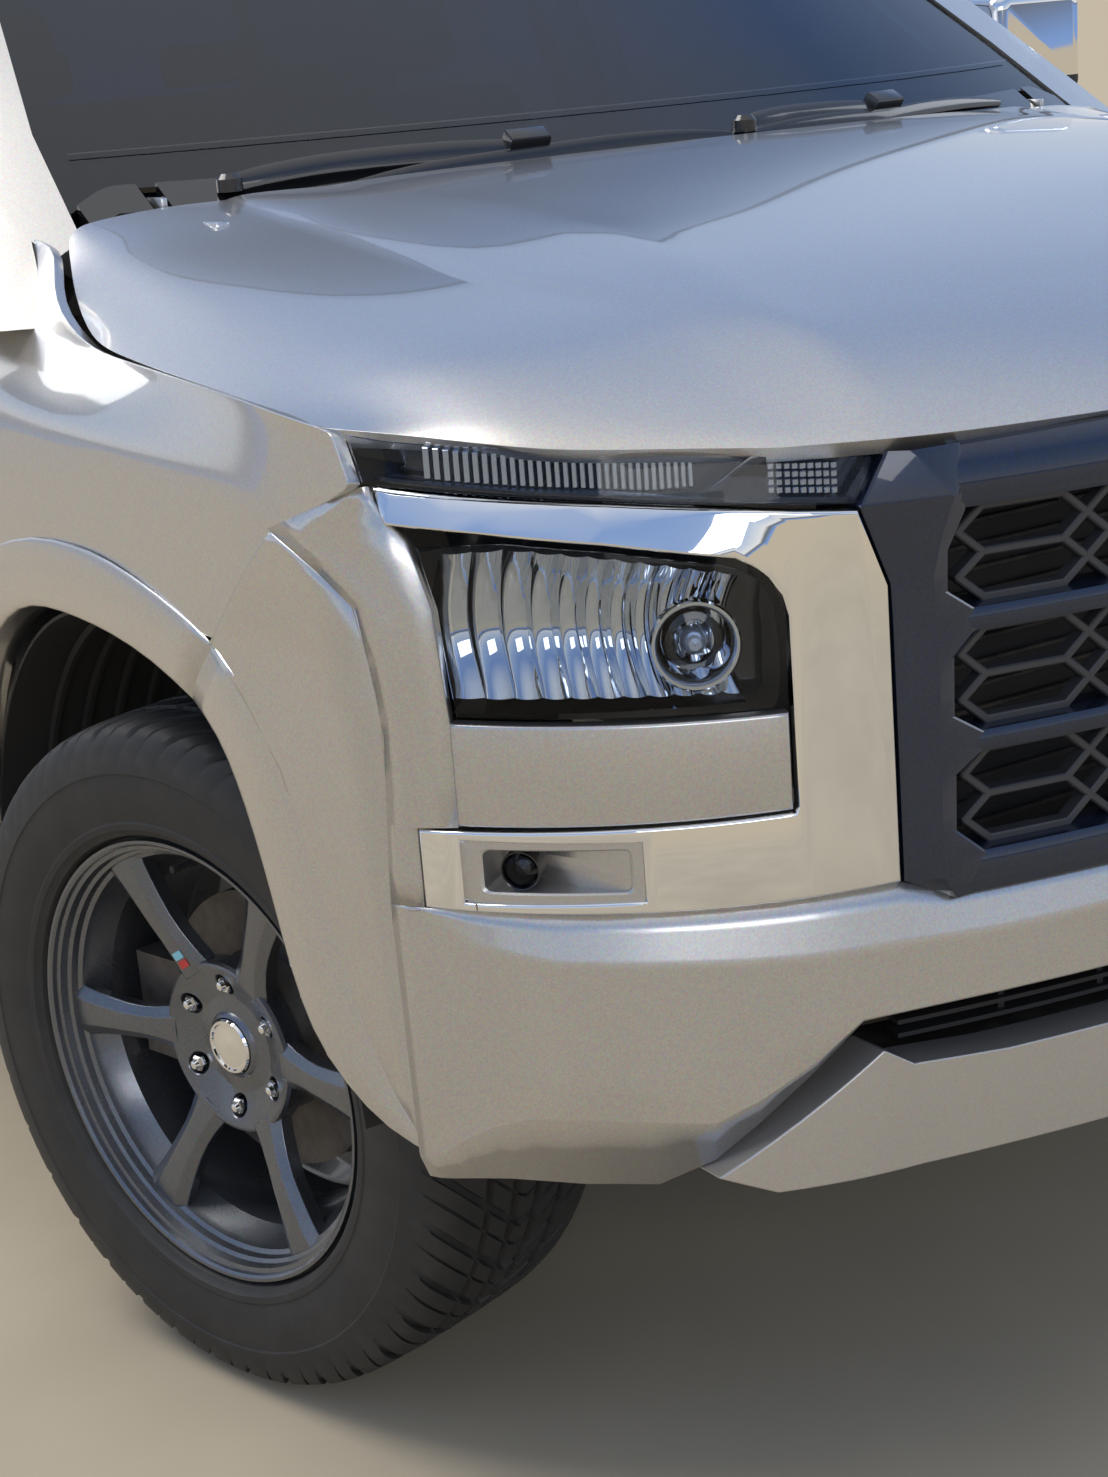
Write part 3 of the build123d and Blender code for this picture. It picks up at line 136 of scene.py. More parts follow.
# Finishes
def finish_of(name, colour, metallic=0.0, rough=0.5, vary=0.06, vary_scale=6.0, rough_vary=0.05, grain=0.0,
              grain_scale=400.0, coat=0.0, clear=0.0, ior=1.45, flake=0.0, dust=0.0):
    """One finish: its colour and roughness vary a little over the piece, with a fine grain in the surface."""
    material = bpy.data.materials.new(name)
    material.use_nodes = True
    tree = material.node_tree
    shader = tree.nodes["Principled BSDF"]
    place = add(tree, "TexCoord").outputs["Object"]
    cloud = add(tree, "TexNoise", {"Vector": place, "Scale": vary_scale, "Detail": 4}).outputs["Fac"]
    tint = add(tree, "ValToRGB", {0: cloud})
    low, high = tint.color_ramp.elements
    low.position, high.position = 0.3, 0.7
    low.color = (*[c * (1 - vary) for c in colour], 1)
    high.color = (*[min(1, c * (1 + vary)) for c in colour], 1)
    paint = tint.outputs[0]
    if flake:
        speck = add(tree, "TexVoronoi", {"Vector": place, "Scale": 650}).outputs["Color"]
        sparkle = add(tree, "Mix", {"Factor": flake, "A": paint, "B": speck}, data_type="RGBA",
                      blend_type="SOFT_LIGHT").outputs["Result"]
        paint = add(tree, "Mix", {"Factor": 0.65, "A": sparkle, "B": paint}, data_type="RGBA").outputs["Result"]
    if dust:
        settle = add(tree, "TexNoise", {"Vector": place, "Scale": 18, "Detail": 8, "Roughness": 0.7}).outputs["Fac"]
        patch = add(tree, "MapRange", {"Value": settle, "From Min": 0.45, "From Max": 0.75, "To Max": dust})
        paint = add(tree, "Mix", {"Factor": patch.outputs[0], "A": paint, "B": (0.36, 0.31, 0.25, 1)},
                    data_type="RGBA").outputs["Result"]
    shine = add(tree, "MapRange", {"Value": cloud, "To Min": max(0.0, rough - rough_vary),
                                   "To Max": min(1.0, rough + rough_vary)})
    if grain:
        tooth = add(tree, "TexNoise", {"Vector": place, "Scale": grain_scale, "Detail": 3}).outputs["Fac"]
        bump = add(tree, "Bump", {"Height": tooth, "Strength": grain, "Distance": 0.0006})
        feed(tree, shader, {"Normal": bump.outputs[0]})
    feed(tree, shader, {"Base Color": paint, "Roughness": shine.outputs[0], "Metallic": metallic,
                        "Coat Weight": coat, "Coat Roughness": 0.03, "Transmission Weight": clear, "IOR": ior})
    return material


silver_paint = finish_of("silver_paint", (0.58, 0.565, 0.545), metallic=0.88, rough=0.29, vary=0.015, vary_scale=1.5,
                         rough_vary=0.02, coat=1.0, flake=0.7)
chrome = finish_of("chrome", (0.88, 0.88, 0.87), metallic=1.0, rough=0.035, vary=0.01, rough_vary=0.02)
navy_gloss = finish_of("navy_gloss", (0.013, 0.022, 0.048), metallic=0.5, rough=0.28, vary=0.1, coat=1.0, flake=0.9)
mesh_grey = finish_of("mesh_grey", (0.045, 0.046, 0.05), rough=0.42, grain=0.25, grain_scale=900, coat=0.2)
black_plastic = finish_of("black_plastic", (0.018, 0.018, 0.019), rough=0.55, vary=0.15, grain=0.5, grain_scale=700)
gloss_black = finish_of("gloss_black", (0.008, 0.008, 0.009), rough=0.12, vary=0.1, coat=0.8)
tinted_glass = finish_of("tinted_glass", (0.05, 0.09, 0.15), rough=0.02, vary=0.02, rough_vary=0.01, clear=1.0, ior=1.5)
clear_lens = finish_of("clear_lens", (0.80, 0.83, 0.86), rough=0.02, vary=0.01, rough_vary=0.01, clear=1.0, ior=1.2)
smoked_lens = finish_of("smoked_lens", (0.70, 0.76, 0.86), rough=0.03, vary=0.02, rough_vary=0.01, clear=1.0, ior=1.25)
red_lens = finish_of("red_lens", (0.45, 0.012, 0.010), rough=0.08, vary=0.05, clear=0.35, coat=0.6)
reflector = finish_of("reflector", (0.70, 0.73, 0.78), metallic=1.0, rough=0.03, vary=0.03, rough_vary=0.02)
satin_silver = finish_of("satin_silver", (0.56, 0.54, 0.51), metallic=0.8, rough=0.34, vary=0.02, rough_vary=0.03,
                         grain=0.1, grain_scale=900, flake=0.4)
gunmetal = finish_of("gunmetal", (0.17, 0.18, 0.20), metallic=0.85, rough=0.28, vary=0.05, vary_scale=20, coat=0.25,
                     flake=0.5)
rubber = finish_of("rubber", (0.026, 0.0255, 0.025), rough=0.6, vary=0.12, vary_scale=30, grain=0.45,
                   grain_scale=600, dust=0.04)
iron = finish_of("iron", (0.16, 0.145, 0.13), metallic=0.7, rough=0.5, vary=0.2, vary_scale=60, grain=0.5,
                 grain_scale=300, dust=0.2)
chassis_black = finish_of("chassis_black", (0.024, 0.023, 0.022), rough=0.5, vary=0.2, grain=0.4, grain_scale=200,
                          dust=0.2)
cast_alloy = finish_of("cast_alloy", (0.40, 0.40, 0.40), metallic=0.9, rough=0.45, vary=0.08, grain=0.7,
                       grain_scale=350)
seat_cloth = finish_of("seat_cloth", (0.035, 0.035, 0.038), rough=0.9, vary=0.15, grain=0.9, grain_scale=1200)
smoked_frame = finish_of("smoked_frame", (0.02, 0.021, 0.024), rough=0.22, vary=0.1, coat=0.6)
blue_stripe = finish_of("blue_stripe", (0.25, 0.62, 0.75), rough=0.35, vary=0.03, coat=0.4)
red_stripe = finish_of("red_stripe", (0.62, 0.03, 0.03), rough=0.35, vary=0.03, coat=0.4)
bulb_glass = finish_of("bulb_glass", (0.55, 0.62, 0.75), metallic=0.6, rough=0.12, vary=0.05)
mirror_face = finish_of("mirror_face", (0.80, 0.82, 0.85), metallic=1.0, rough=0.02, vary=0.01, rough_vary=0.01)
frit_black = finish_of("frit_black", (0.006, 0.006, 0.007), rough=0.08, vary=0.1, coat=0.8)

# Each slot's own finish, and the other finishes that go by the same slot
FINISHES = {"body_paint": silver_paint, "chrome": chrome, "grille_black": navy_gloss, "mesh_grey": mesh_grey,
            "trim_black": black_plastic, "glass_tint": tinted_glass, "lamp_clear": clear_lens,
            "lamp_red": red_lens, "silver_trim": satin_silver, "wheel_grey": gunmetal, "tyre": rubber,
            "iron": iron, "frame_black": chassis_black, "alloy": cast_alloy, "seat_fabric": seat_cloth,
            "mirror_glass": mirror_face}
SLOT_OF = {finish.name: slot for slot, finish in FINISHES.items()}
SLOT_OF.update(gloss_black="trim_black", smoked_frame="trim_black", frit_black="trim_black",
               smoked_lens="lamp_clear", reflector="lamp_clear", bulb_glass="lamp_clear",
               blue_stripe="wheel_grey", red_stripe="wheel_grey")
slot_named = {row["node"]: row["material_slot"] for row in frame["record"]["subparts"]}
for name, slot in slot_named.items():
    nodes[name].data.materials.clear()
    nodes[name].data.materials.append(FINISHES[slot])
nodes["cowl"].data.materials[0] = gloss_black
nodes["radiator"].data.materials[0] = black_plastic

# Pieces: a form made in truck millimetres becomes an object in the shared frame
body_of = {name: body for body, held in frame["record"]["behaviour"]["bodies"].items() for name in held}
SIDES = (("right", -1), ("left", 1))


def finish_mesh(form, smooth):
    """Set smooth shading, with sharp edges above an angle."""
    for face in form.faces:
        face.smooth = True
    for edge in form.edges:
        if len(edge.link_faces) == 2 and edge.calc_face_angle(0) > math.radians(smooth):
            edge.smooth = False


def modify(made, name, kind, **settings):
    """Add a modifier with its settings."""
    added = made.modifiers.new(name, kind)
    for setting, value in settings.items():
        setattr(added, setting, value)


def piece(form, name, finish, body="chassis", stands_for=(), smooth=32, place=to_truck, subdivide=0, wall=0.0,
          bevel=0.0, bevel_steps=2):
    """A finished piece with its finishes, the first one first. Wall and bevel are in metres."""
    form.transform(place)
    data = bpy.data.meshes.new(name)
    finish_mesh(form, 180 if subdivide or bevel else smooth)
    form.to_mesh(data)
    form.free()
    made = bpy.data.objects.new(name, data)
    bpy.context.scene.collection.objects.link(made)
    finishes = finish if isinstance(finish, tuple) else (finish,)
    for one in finishes:
        data.materials.append(one)
    if subdivide:
        modify(made, "rounder", "SUBSURF", levels=subdivide, render_levels=subdivide)
    if wall:
        modify(made, "thick", "SOLIDIFY", thickness=wall, offset=-1)
    if bevel:
        modify(made, "edge", "BEVEL", width=bevel, segments=bevel_steps, limit_method="ANGLE",
               angle_limit=math.radians(smooth), harden_normals=True)
    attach(made, body)
    if stands_for:
        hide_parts(*stands_for)
    return made


def mirrored_form(form):
    """The form on the truck's other side."""
    bmesh.ops.scale(form, vec=(-1, 1, 1), verts=form.verts)
    bmesh.ops.reverse_faces(form, faces=form.faces)
    return form


def both(make, name, finish, **options):
    """The same form on the truck's right and, mirrored, on its left."""
    for side, sign in SIDES:
        piece(make() if sign < 0 else mirrored_form(make()), f"{name}_{side}", finish, **options)


def gather(forms):
    """Several forms as one."""
    together = bmesh.new()
    for form in forms:
        data = bpy.data.meshes.new("part")
        form.to_mesh(data)
        form.free()
        together.from_mesh(data)
        bpy.data.meshes.remove(data)
    return together


def whole(make):
    """A form made on the right, joined to its mirror image across the middle."""
    joined = gather([make(), mirrored_form(make())])
    bmesh.ops.remove_doubles(joined, verts=joined.verts, dist=0.05)
    return joined


def copy_of(name):
    """A merged copy of a CAD node's mesh."""
    form = bmesh.new()
    form.from_mesh(nodes[name].data)
    bmesh.ops.remove_doubles(form, verts=form.verts, dist=2e-5)
    bmesh.ops.dissolve_limit(form, angle_limit=math.radians(0.8), verts=form.verts, edges=form.edges)
    return form


def in_place(form, name, finish, **options):
    """A piece made from a CAD node's copy, where the node is."""
    return piece(form, f"{name}_shape", finish, body_of[name], (name,), place=Matrix.Identity(4), **options)


def rounded(name, width, steps=2):
    """A copy of a CAD node with its edges broken."""
    made = in_place(copy_of(name), name, FINISHES[slot_named[name]], smooth=34, bevel=width, bevel_steps=steps)
    modify(made, "even", "WEIGHTED_NORMAL", weight=90, keep_sharp=True)


def skin(rows, closed=False):
    """A surface through rows of points, bridged one to the next."""
    form = bmesh.new()
    loops = []
    for row in rows:
        points = [form.verts.new(point) for point in row]
        ends = points[1:] + points[:1] if closed else points[1:]
        loops.append([form.edges.new(pair) for pair in zip(points, ends)])
    for near, far in zip(loops, loops[1:]):
        bmesh.ops.bridge_loops(form, edges=near + far)
    return form


def facing(form, way):
    """Turn a skin's faces to point one way."""
    bmesh.ops.recalc_face_normals(form, faces=form.faces)
    if sum(face.normal.dot(Vector(way)) * face.calc_area() for face in form.faces) < 0:
        bmesh.ops.reverse_faces(form, faces=form.faces)
    return form


def filled(form):
    """Close a skin's open ends."""
    bmesh.ops.holes_fill(form, edges=form.edges, sides=0)
    bmesh.ops.recalc_face_normals(form, faces=form.faces)
    return form


def cut(form, place, way, dist=1e-4, **options):
    """Cut a form's faces along a plane."""
    bmesh.ops.bisect_plane(form, geom=form.verts[:] + form.edges[:] + form.faces[:], dist=dist, plane_co=place,
                           plane_no=way, **options)


def break_edges(form, edges, width, steps=1):
    """Bevel some edges of a form."""
    bmesh.ops.bevel(form, geom=edges[:], offset=width, segments=steps, affect="EDGES", profile=0.5, material=-1)


def block(form, middle, size, turn=Matrix.Identity(4)):
    """Add a block of a size, turned about its middle."""
    bmesh.ops.create_cube(form, size=1, matrix=Matrix.Translation(middle) @ turn @ Matrix.Diagonal((*size, 1)))


def box(form, x0, x1, y0, y1, z0, z1):
    """Add a box between two corners."""
    block(form, ((x0 + x1) / 2, (y0 + y1) / 2, (z0 + z1) / 2), (x1 - x0, y1 - y0, z1 - z0))


def bars(rows, edge, steps=2):
    """Boxes with broken edges."""
    form = bmesh.new()
    for row in rows:
        box(form, *row)
    break_edges(form, form.edges, edge, steps)
    return form


def stack(form, place, stages):
    """Add a stack of cones: each stage is its lower and upper end, the radii there, and its number of sides."""
    for low, high, wide, top, sides in stages:
        bmesh.ops.create_cone(form, cap_ends=True, segments=sides, radius1=wide, radius2=top, depth=high - low,
                              matrix=place @ Matrix.Translation((0, 0, (low + high) / 2)))


def spun(profile, axis, steps, closed=False, angle=math.tau):
    """A form turned about an axis from points of the XY plane."""
    form = bmesh.new()
    points = [form.verts.new((x, y, 0)) for x, y in profile]
    ends = points[1:] + points[:1] if closed else points[1:]
    edges = [form.edges.new(pair) for pair in zip(points, ends)]
    bmesh.ops.spin(form, geom=points + edges, cent=(0, 0, 0), axis=axis, dvec=(0, 0, 0), angle=angle, steps=steps,
                   use_merge=angle == math.tau)
    bmesh.ops.remove_doubles(form, verts=form.verts, dist=1e-3)
    bmesh.ops.recalc_face_normals(form, faces=form.faces)
    return form


def blend(low, high, share):
    return low + (high - low) * share


def along(table, place):
    """The value at a place in a table of (place, value) rows."""
    if place <= table[0][0]:
        return table[0][1]
    for (at, value), (after, following) in zip(table, table[1:]):
        if place <= after:
            return blend(value, following, (place - at) / (after - at))
    return table[-1][1]


# Hood: columns from the middle to the shut line, rows from the front edge rearward
HOOD_RUN = [0, 8, 24, 49, 92, 154, 206, 267, 356, 450, 528, 650, 762, 860, 930, 985, 1035]
MIDDLE_Z = [(-866, 1046), (-858, 1052), (-840, 1063), (-800, 1083), (-750, 1102), (-700, 1119), (-600, 1146),
            (-450, 1173), (-300, 1191), (-100, 1211), (90, 1228), (155, 1233)]
RIDGE_X = [(-806, 566), (-757, 545), (-714, 533), (-652, 523), (-600, 521), (-539, 516), (-450, 500), (-278, 472),
           (-44, 470), (229, 492)]
RIDGE_Z = [(-806, 1053), (-798, 1059), (-782, 1069), (-757, 1084), (-714, 1104), (-652, 1127), (-600, 1140),
           (-539, 1153), (-450, 1172), (-278, 1191), (-44, 1209), (229, 1222)]
VALLEY_X = [(-776, 650), (-700, 630), (-600, 612), (-509, 606), (-437, 626), (-353, 636), (-239, 633), (-97, 618),
            (72, 598), (266, 600)]
VALLEY_Z = [(-776, 1056), (-768, 1062), (-752, 1070), (-727, 1081), (-684, 1099), (-622, 1121), (-560, 1139),
            (-509, 1148), (-437, 1155), (-353, 1162), (-239, 1171), (-97, 1181), (72, 1194), (266, 1217)]
OUTER_X = [(-688, 800), (-450, 792), (-300, 783), (-150, 780), (100, 774), (300, 748)]
OUTER_Z = [(-688, 1067), (-680, 1073), (-664, 1082), (-640, 1092), (-600, 1106), (-540, 1122), (-450, 1136),
           (-300, 1148), (-150, 1157), (100, 1176), (200, 1190), (300, 1208)]
EDGE_X = [(-521, 904), (-341, 887), (-140, 872), (90, 848), (191, 819.5), (290, 781)]
EDGE_Z = [(-521, 1085), (-341, 1091), (-140, 1096), (40, 1101), (90, 1106), (191, 1138), (290, 1194)]


def mix(near, far, shares, rise=0.0):
    """A point between two others, with a share for each way, raised a little."""
    x, y, z = (blend(*ends) for ends in zip(near, far, shares))
    return (x, y, z + rise)


def hood_row(run):
    share = run / HOOD_RUN[-1]
    columns = [(blend(-866, 153, share), [(0, 0.0)], MIDDLE_Z),
               (blend(-806, 229, share), RIDGE_X, RIDGE_Z), (blend(-776, 266, share), VALLEY_X, VALLEY_Z),
               (blend(-688, 300, share), OUTER_X, OUTER_Z), (blend(-521, 290, share), EDGE_X, EDGE_Z)]
    middle, ridge, valley, outer, edge = [(-along(xs, y), y, along(zs, y)) for y, xs, zs in columns]
    lip_rise = along([(-560, 0.0), (-430, 5.0), (-100, 8.0), (266, 5.0)], valley[1])
    return [middle, mix(middle, ridge, (0.5, 0.22, 0.2)), mix(middle, ridge, (0.86, 0.72, 0.5)), ridge,
            mix(ridge, valley, (0.84, 0.84, 0.84), lip_rise), valley,
            mix(valley, outer, (0.5, 0.5, 0.5), 1.5 + 2.5 * share), outer,
            mix(outer, edge, (0.55, 0.55, 0.5), 3), edge]


def hood_skin():
    """The hood's upper face, creased along its ridges and its valleys."""
    rows = [hood_row(run) for run in HOOD_RUN]
    form = skin([[(-x, y, z) for x, y, z in row[:0:-1]] + row for row in rows])
    weight = form.edges.layers.float.new("crease_edge")
    for edge in form.edges:
        ends = [vertex.co for vertex in edge.verts]
        if abs(ends[0].y - ends[1].y) < 5:
            continue
        middle = (ends[0] + ends[1]) / 2
        for line_x, line_z, crease in (
                (RIDGE_X, RIDGE_Z, [(-806, 0.95), (-600, 0.9), (-450, 0.7), (-300, 0.5), (229, 0.6)]),
                (VALLEY_X, VALLEY_Z, [(-600, 0.0), (-509, 0.5), (-400, 1.0), (266, 1.0)])):
            if (abs(abs(middle.x) - along(line_x, middle.y)) < 4
                    and abs(middle.z - along(line_z, middle.y)) < 4):
                edge[weight] = along(crease, middle.y)
    return facing(form, (0, 0, 1))


piece(hood_skin(), "hood_panel", silver_paint, "hood", ("hood",), subdivide=2, wall=0.016, bevel=0.003,
      bevel_steps=3, smooth=50)

# Nose: the plan curve from the middle round to the right side, as (x, station), both counted outward
def arc(start, middle, end, steps):
    """Points along the circle through three points."""
    (ax, ay), (bx, by), (cx, cy) = start, middle, end
    d = 2 * (ax * (by - cy) + bx * (cy - ay) + cx * (ay - by))
    ux = ((ax * ax + ay * ay) * (by - cy) + (bx * bx + by * by) * (cy - ay) + (cx * cx + cy * cy) * (ay - by)) / d
    uy = ((ax * ax + ay * ay) * (cx - bx) + (bx * bx + by * by) * (ax - cx) + (cx * cx + cy * cy) * (bx - ax)) / d
    radius = math.hypot(ax - ux, ay - uy)
    first = math.atan2(ay - uy, ax - ux)
    turn = math.remainder(math.atan2(cy - uy, cx - ux) - first, math.tau)
    return [(ux + radius * math.cos(first + turn * i / steps), uy + radius * math.sin(first + turn * i / steps))
            for i in range(steps + 1)]


NOSE = arc((-560, -808), (0, -880), (560, -808), 40)[20:] + arc((560, -808), (770, -716), (890, -580), 24)[1:]
NOSE += arc((890, -580), (921, -480), (932, -330), 16)[1:] + [(932, 700)]
RUN = [0.0]
for here, there in zip(NOSE, NOSE[1:]):
    RUN.append(RUN[-1] + math.dist(here, there))


def run_at(x):
    """The distance along the nose at a place across the truck."""
    return along([(px, run) for (px, py), run in zip(NOSE, RUN)], x)


def x_at(run):
    """The place across the truck at a distance along the nose."""
    return along([(r, px) for (px, py), r in zip(NOSE, RUN)], run)


def run_by(y):
    """The distance along the nose at a station on the side."""
    return along([(py, run) for (px, py), run in zip(NOSE, RUN)], y)


def nose_at(run, out):
    """The point at a distance along the nose, moved outward."""
    k = max(i for i in range(len(RUN) - 1) if RUN[i] <= max(run, 0.001))
    (ax, ay), (bx, by) = NOSE[k], NOSE[k + 1]
    share = (run - RUN[k]) / (RUN[k + 1] - RUN[k])
    before, after = max(k - 1, 0), min(k + 2, len(NOSE) - 1)
    near = Vector((bx - NOSE[before][0], by - NOSE[before][1])).normalized()
    far = Vector((NOSE[after][0] - ax, NOSE[after][1] - ay)).normalized()
    if k == 0:
        near = Vector((1, 0))
    flow = near.lerp(far, share).normalized()
    return blend(ax, bx, share) + flow.y * out, blend(ay, by, share) - flow.x * out


def wrap(form, relief=None):
    """Bend a flat form (distance along the nose, depth, height) onto the nose, on the truck's right."""
    for vertex in form.verts:
        run, depth, z = vertex.co
        out = relief(run, z) if relief else 0.0
        x, y = nose_at(run, out - depth)
        vertex.co = (-x, y, z)
    bmesh.ops.reverse_faces(form, faces=form.faces)


def bend(form, relief=None):
    """Bend a closed flat form onto the nose, with its faces outward."""
    wrap(form, relief)
    bmesh.ops.recalc_face_normals(form, faces=form.faces)
    return form


def outline_face(form, outline, depth):
    """A flat face from an outline of (x, height), which faces forward."""
    face = form.faces.new([form.verts.new((run_at(x), depth, z)) for x, z in outline])
    face.normal_update()
    if face.normal.y > 0:
        face.normal_flip()
    return face


def slice_up(form):
    """Cut a flat form at even steps along the nose, so that it bends there."""
    step = 25.0
    low = min(vertex.co.x for vertex in form.verts)
    high = max(vertex.co.x for vertex in form.verts)
    place = math.ceil(low / step + 0.02) * step
    while place < high - 0.5:
        cut(form, (place, 0, 0), (1, 0, 0))
        place += step


def nose_plate(outline, thick, relief=None, edge=0.0, levels=(), front=0.0, steps=2):
    """A plate on the nose from an outline of (x, height), with its front border broken."""
    form = bmesh.new()
    outline_face(form, outline, front)
    sides = bmesh.ops.extrude_face_region(form, geom=list(form.faces))
    bmesh.ops.translate(form, vec=(0, thick, 0),
                        verts=[item for item in sides["geom"] if isinstance(item, bmesh.types.BMVert)])
    bmesh.ops.reverse_faces(form, faces=form.faces)
    bmesh.ops.recalc_face_normals(form, faces=form.faces)
    if edge:
        break_edges(form, [e for e in form.edges if all(abs(v.co.y - front) < 1e-4 for v in e.verts)], edge, steps)
    slice_up(form)
    for level in levels:
        cut(form, (0, 0, level), (0, 0, 1))
    return bend(form, relief)


def on_side(y, z):
    """A point of the right body side ahead of the door, from its station and height."""
    tables = [[(400, 868), (520, 899), (640, 918), (760, 928), (880, x3), (z2, x2), (z1, x1)]
              for y0, x1, z1, x2, z2, x3 in SIDE_SECTIONS]
    widths = [(section[0], along(table, z)) for section, table in zip(SIDE_SECTIONS, tables)]
    return (-along(widths, y), y, z)


SIDE_SECTIONS = [
    (-640, 905, 1072, 915, 990, 926),
    (-450, 903, 1080, 914, 998, 930),
    (-345, 893, 1091, 912, 1024, 931),
    (90, 854, 1102, 908, 1033, 932),
    (290, 790, 1192, 905, 1042, 932),
    (634, 868, 1196, 904, 1118, 932)]
ARCH_EDGE = [(466, 400), (456, 480), (442, 540), (420, 600), (385, 665), (330, 740), (260, 793), (176, 833),
             (90, 846), (0, 848), (-86, 846), (-180, 836), (-264, 815), (-312, 790), (-341, 753), (-364, 715),
             (-389, 652), (-403, 602), (-431, 540), (-473, 504), (-521, 472), (-574, 459)]
FLARE_EDGE = [(540, 400), (530, 490), (517, 560), (498, 630), (462, 712), (400, 798), (318, 858), (218, 890),
              (113, 914), (0, 920), (-86, 917), (-200, 902), (-316, 874), (-379, 836), (-428, 781), (-448, 725),
              (-464, 674), (-484, 618), (-506, 560), (-532, 510), (-553, 482), (-573, 461)]
SEAM_ROW = 12
TOP_EDGE = [(-566, 1084), (-510, 1086), (-341, 1092), (-140, 1097), (40, 1100), (90, 1104), (191, 1138), (288, 1192),
            (360, 1196), (634, 1196)]
BASE_EDGE = [(-566, 1042), (-451, 998), (-380, 935), (-316, 874), (-200, 902), (-86, 917), (0, 920), (113, 914),
             (218, 890), (318, 858), (400, 798), (634, 798)]
SHOULDER = [(-566, 1062), (-451, 1000), (-332, 1026), (-117, 1026), (38, 1032), (223, 1040), (634, 1118)]
DOOR_LINE = 634


def fender_skin():
    """The fender's upper side, from the seam and the flare up to the hood's shut line, and its rear foot."""
    rows = []
    for y in (-566, -510, -451, -400, -345, -316, -260, -200, -140, -86, 0, 60, 113, 165, 218, 270, 318, 360, 400,
              470, 550, 634):
        base, top = along(BASE_EDGE, y), along(TOP_EDGE, y)
        shoulder = max(along(SHOULDER, y), base + 2)
        heights = [base, blend(base, shoulder, 0.35), blend(base, shoulder, 0.7), shoulder - 5, shoulder + 5,
                   blend(shoulder, top, 0.4), blend(shoulder, top, 0.75), top - 6, top]
        slant = along([(-566, 38.0), (-451, 0.0)], y)
        rows.append([on_side(y + slant * along([(1042, 0), (1086, 1)], z), z) for z in heights])
    foot = []
    for z in (400, 440, 490, 560, 630, 712, 760, 798):
        first = along(sorted((z0, y0) for y0, z0 in FLARE_EDGE[:6]), z)
        foot.append([on_side(blend(first, DOOR_LINE, share), z) for share in (0, 0.25, 0.5, 0.75, 1)])
    form = gather([skin(rows), skin(foot)])
    bmesh.ops.remove_doubles(form, verts=form.verts, dist=0.5)
    return facing(form, (-1, 0, 0))


def flare_point(y, z, out):
    """A point of the arch flare, which follows the nose's side."""
    x, station = nose_at(run_by(y), out)
    return (-x, station, z)


def flare_band(first, last):
    """The flare between two of its rows: a lip inside the arch, a crown, and an edge sunk in the fender."""
    rows = []
    for (ay, az), (fy, fz) in list(zip(ARCH_EDGE, FLARE_EDGE))[first:last]:
        fade = along([(461, 0.05), (500, 1.0)], fz) if fy < 0 else 1.0
        section = [(-0.06, -34), (-0.02, -4), (0, 2 * fade), (0.05, 4.2 * fade), (0.2, 5.2 * fade), (0.5, 5.4 * fade),
                   (0.7, 4.4 * fade), (0.86, 2.2 * fade), (0.98, 0.3), (1.05, -1.2)]
        rows.append([flare_point(blend(ay, fy, share), blend(az, fz, share), out) for share, out in section])
    return facing(skin(rows), (-1, 0, 0))


CORNER_Y = [(438, -562), (693, -557), (837, -567), (876, -563), (942, -551), (975, -500), (990, -461), (998, -446)]
CORNER_OUT = 8.0


def crease_out(z):
    """How far the corner crease stands proud, fading towards its upper end."""
    return CORNER_OUT * min(1.0, (1006 - z) / 60)


def corner_skin():
    """The flat side facet between the corner crease and the seam or the flare."""
    rows = []
    for z in (482, 510, 560, 618, 674, 725, 781, 836, 874, 910, 942, 966, 984, 994):
        if z >= 874:
            back = along([(874, -316), (998, -451), (1044, -572)], z)
        else:
            back = along(sorted((fz, fy) for fy, fz in FLARE_EDGE[SEAM_ROW:]), z)
        near = Vector(flare_point(along(CORNER_Y, z), z, crease_out(z)))
        far = Vector(flare_point(back, z, -0.5))
        rows.append([near.lerp(far, share) for share in (0, 0.33, 0.66, 1, 1.03)])
    return facing(skin(rows), (-1, -0.3, 0))


SHELF_LINE = [(0, 636), (478, 634), (567, 638), (648, 641), (724, 646), (816, 651), (861, 660), (888, 684), (892, 690)]
SHELF_TOP = [(0, 668), (528, 675), (566, 688), (892, 691)]
SHELF_OUT = 12.0
TUCK_LINE = [(608, 575), (717, 505), (799, 514), (848, 510), (878, 482), (893, 462)]


def bumper_out(run, z):
    """How far the bumper stands proud: the shelf, the corner crease and the tucked lower edge."""
    x = x_at(run)
    line, top = along(SHELF_LINE, x), along(SHELF_TOP, x)
    proud = SHELF_OUT * min(1.0, max(0.0, (888 - x) / 60))
    out = proud if z <= line else proud * max(0.0, (top - z) / max(top - line, 1))
    corner = run_by(along(CORNER_Y, z))
    out += CORNER_OUT * max(0.0, 1 - (corner - run) / 70) if run < corner + 1 else CORNER_OUT
    return out - max(0.0, along(TUCK_LINE, x) - z) * 0.42


def wrap_rows(rows, relief, way):
    """A skin through rows of (distance along the nose, height), bent onto the nose."""
    form = skin([[(run, 0, z) for run, z in row] for row in rows])
    wrap(form, relief)
    return facing(form, way)


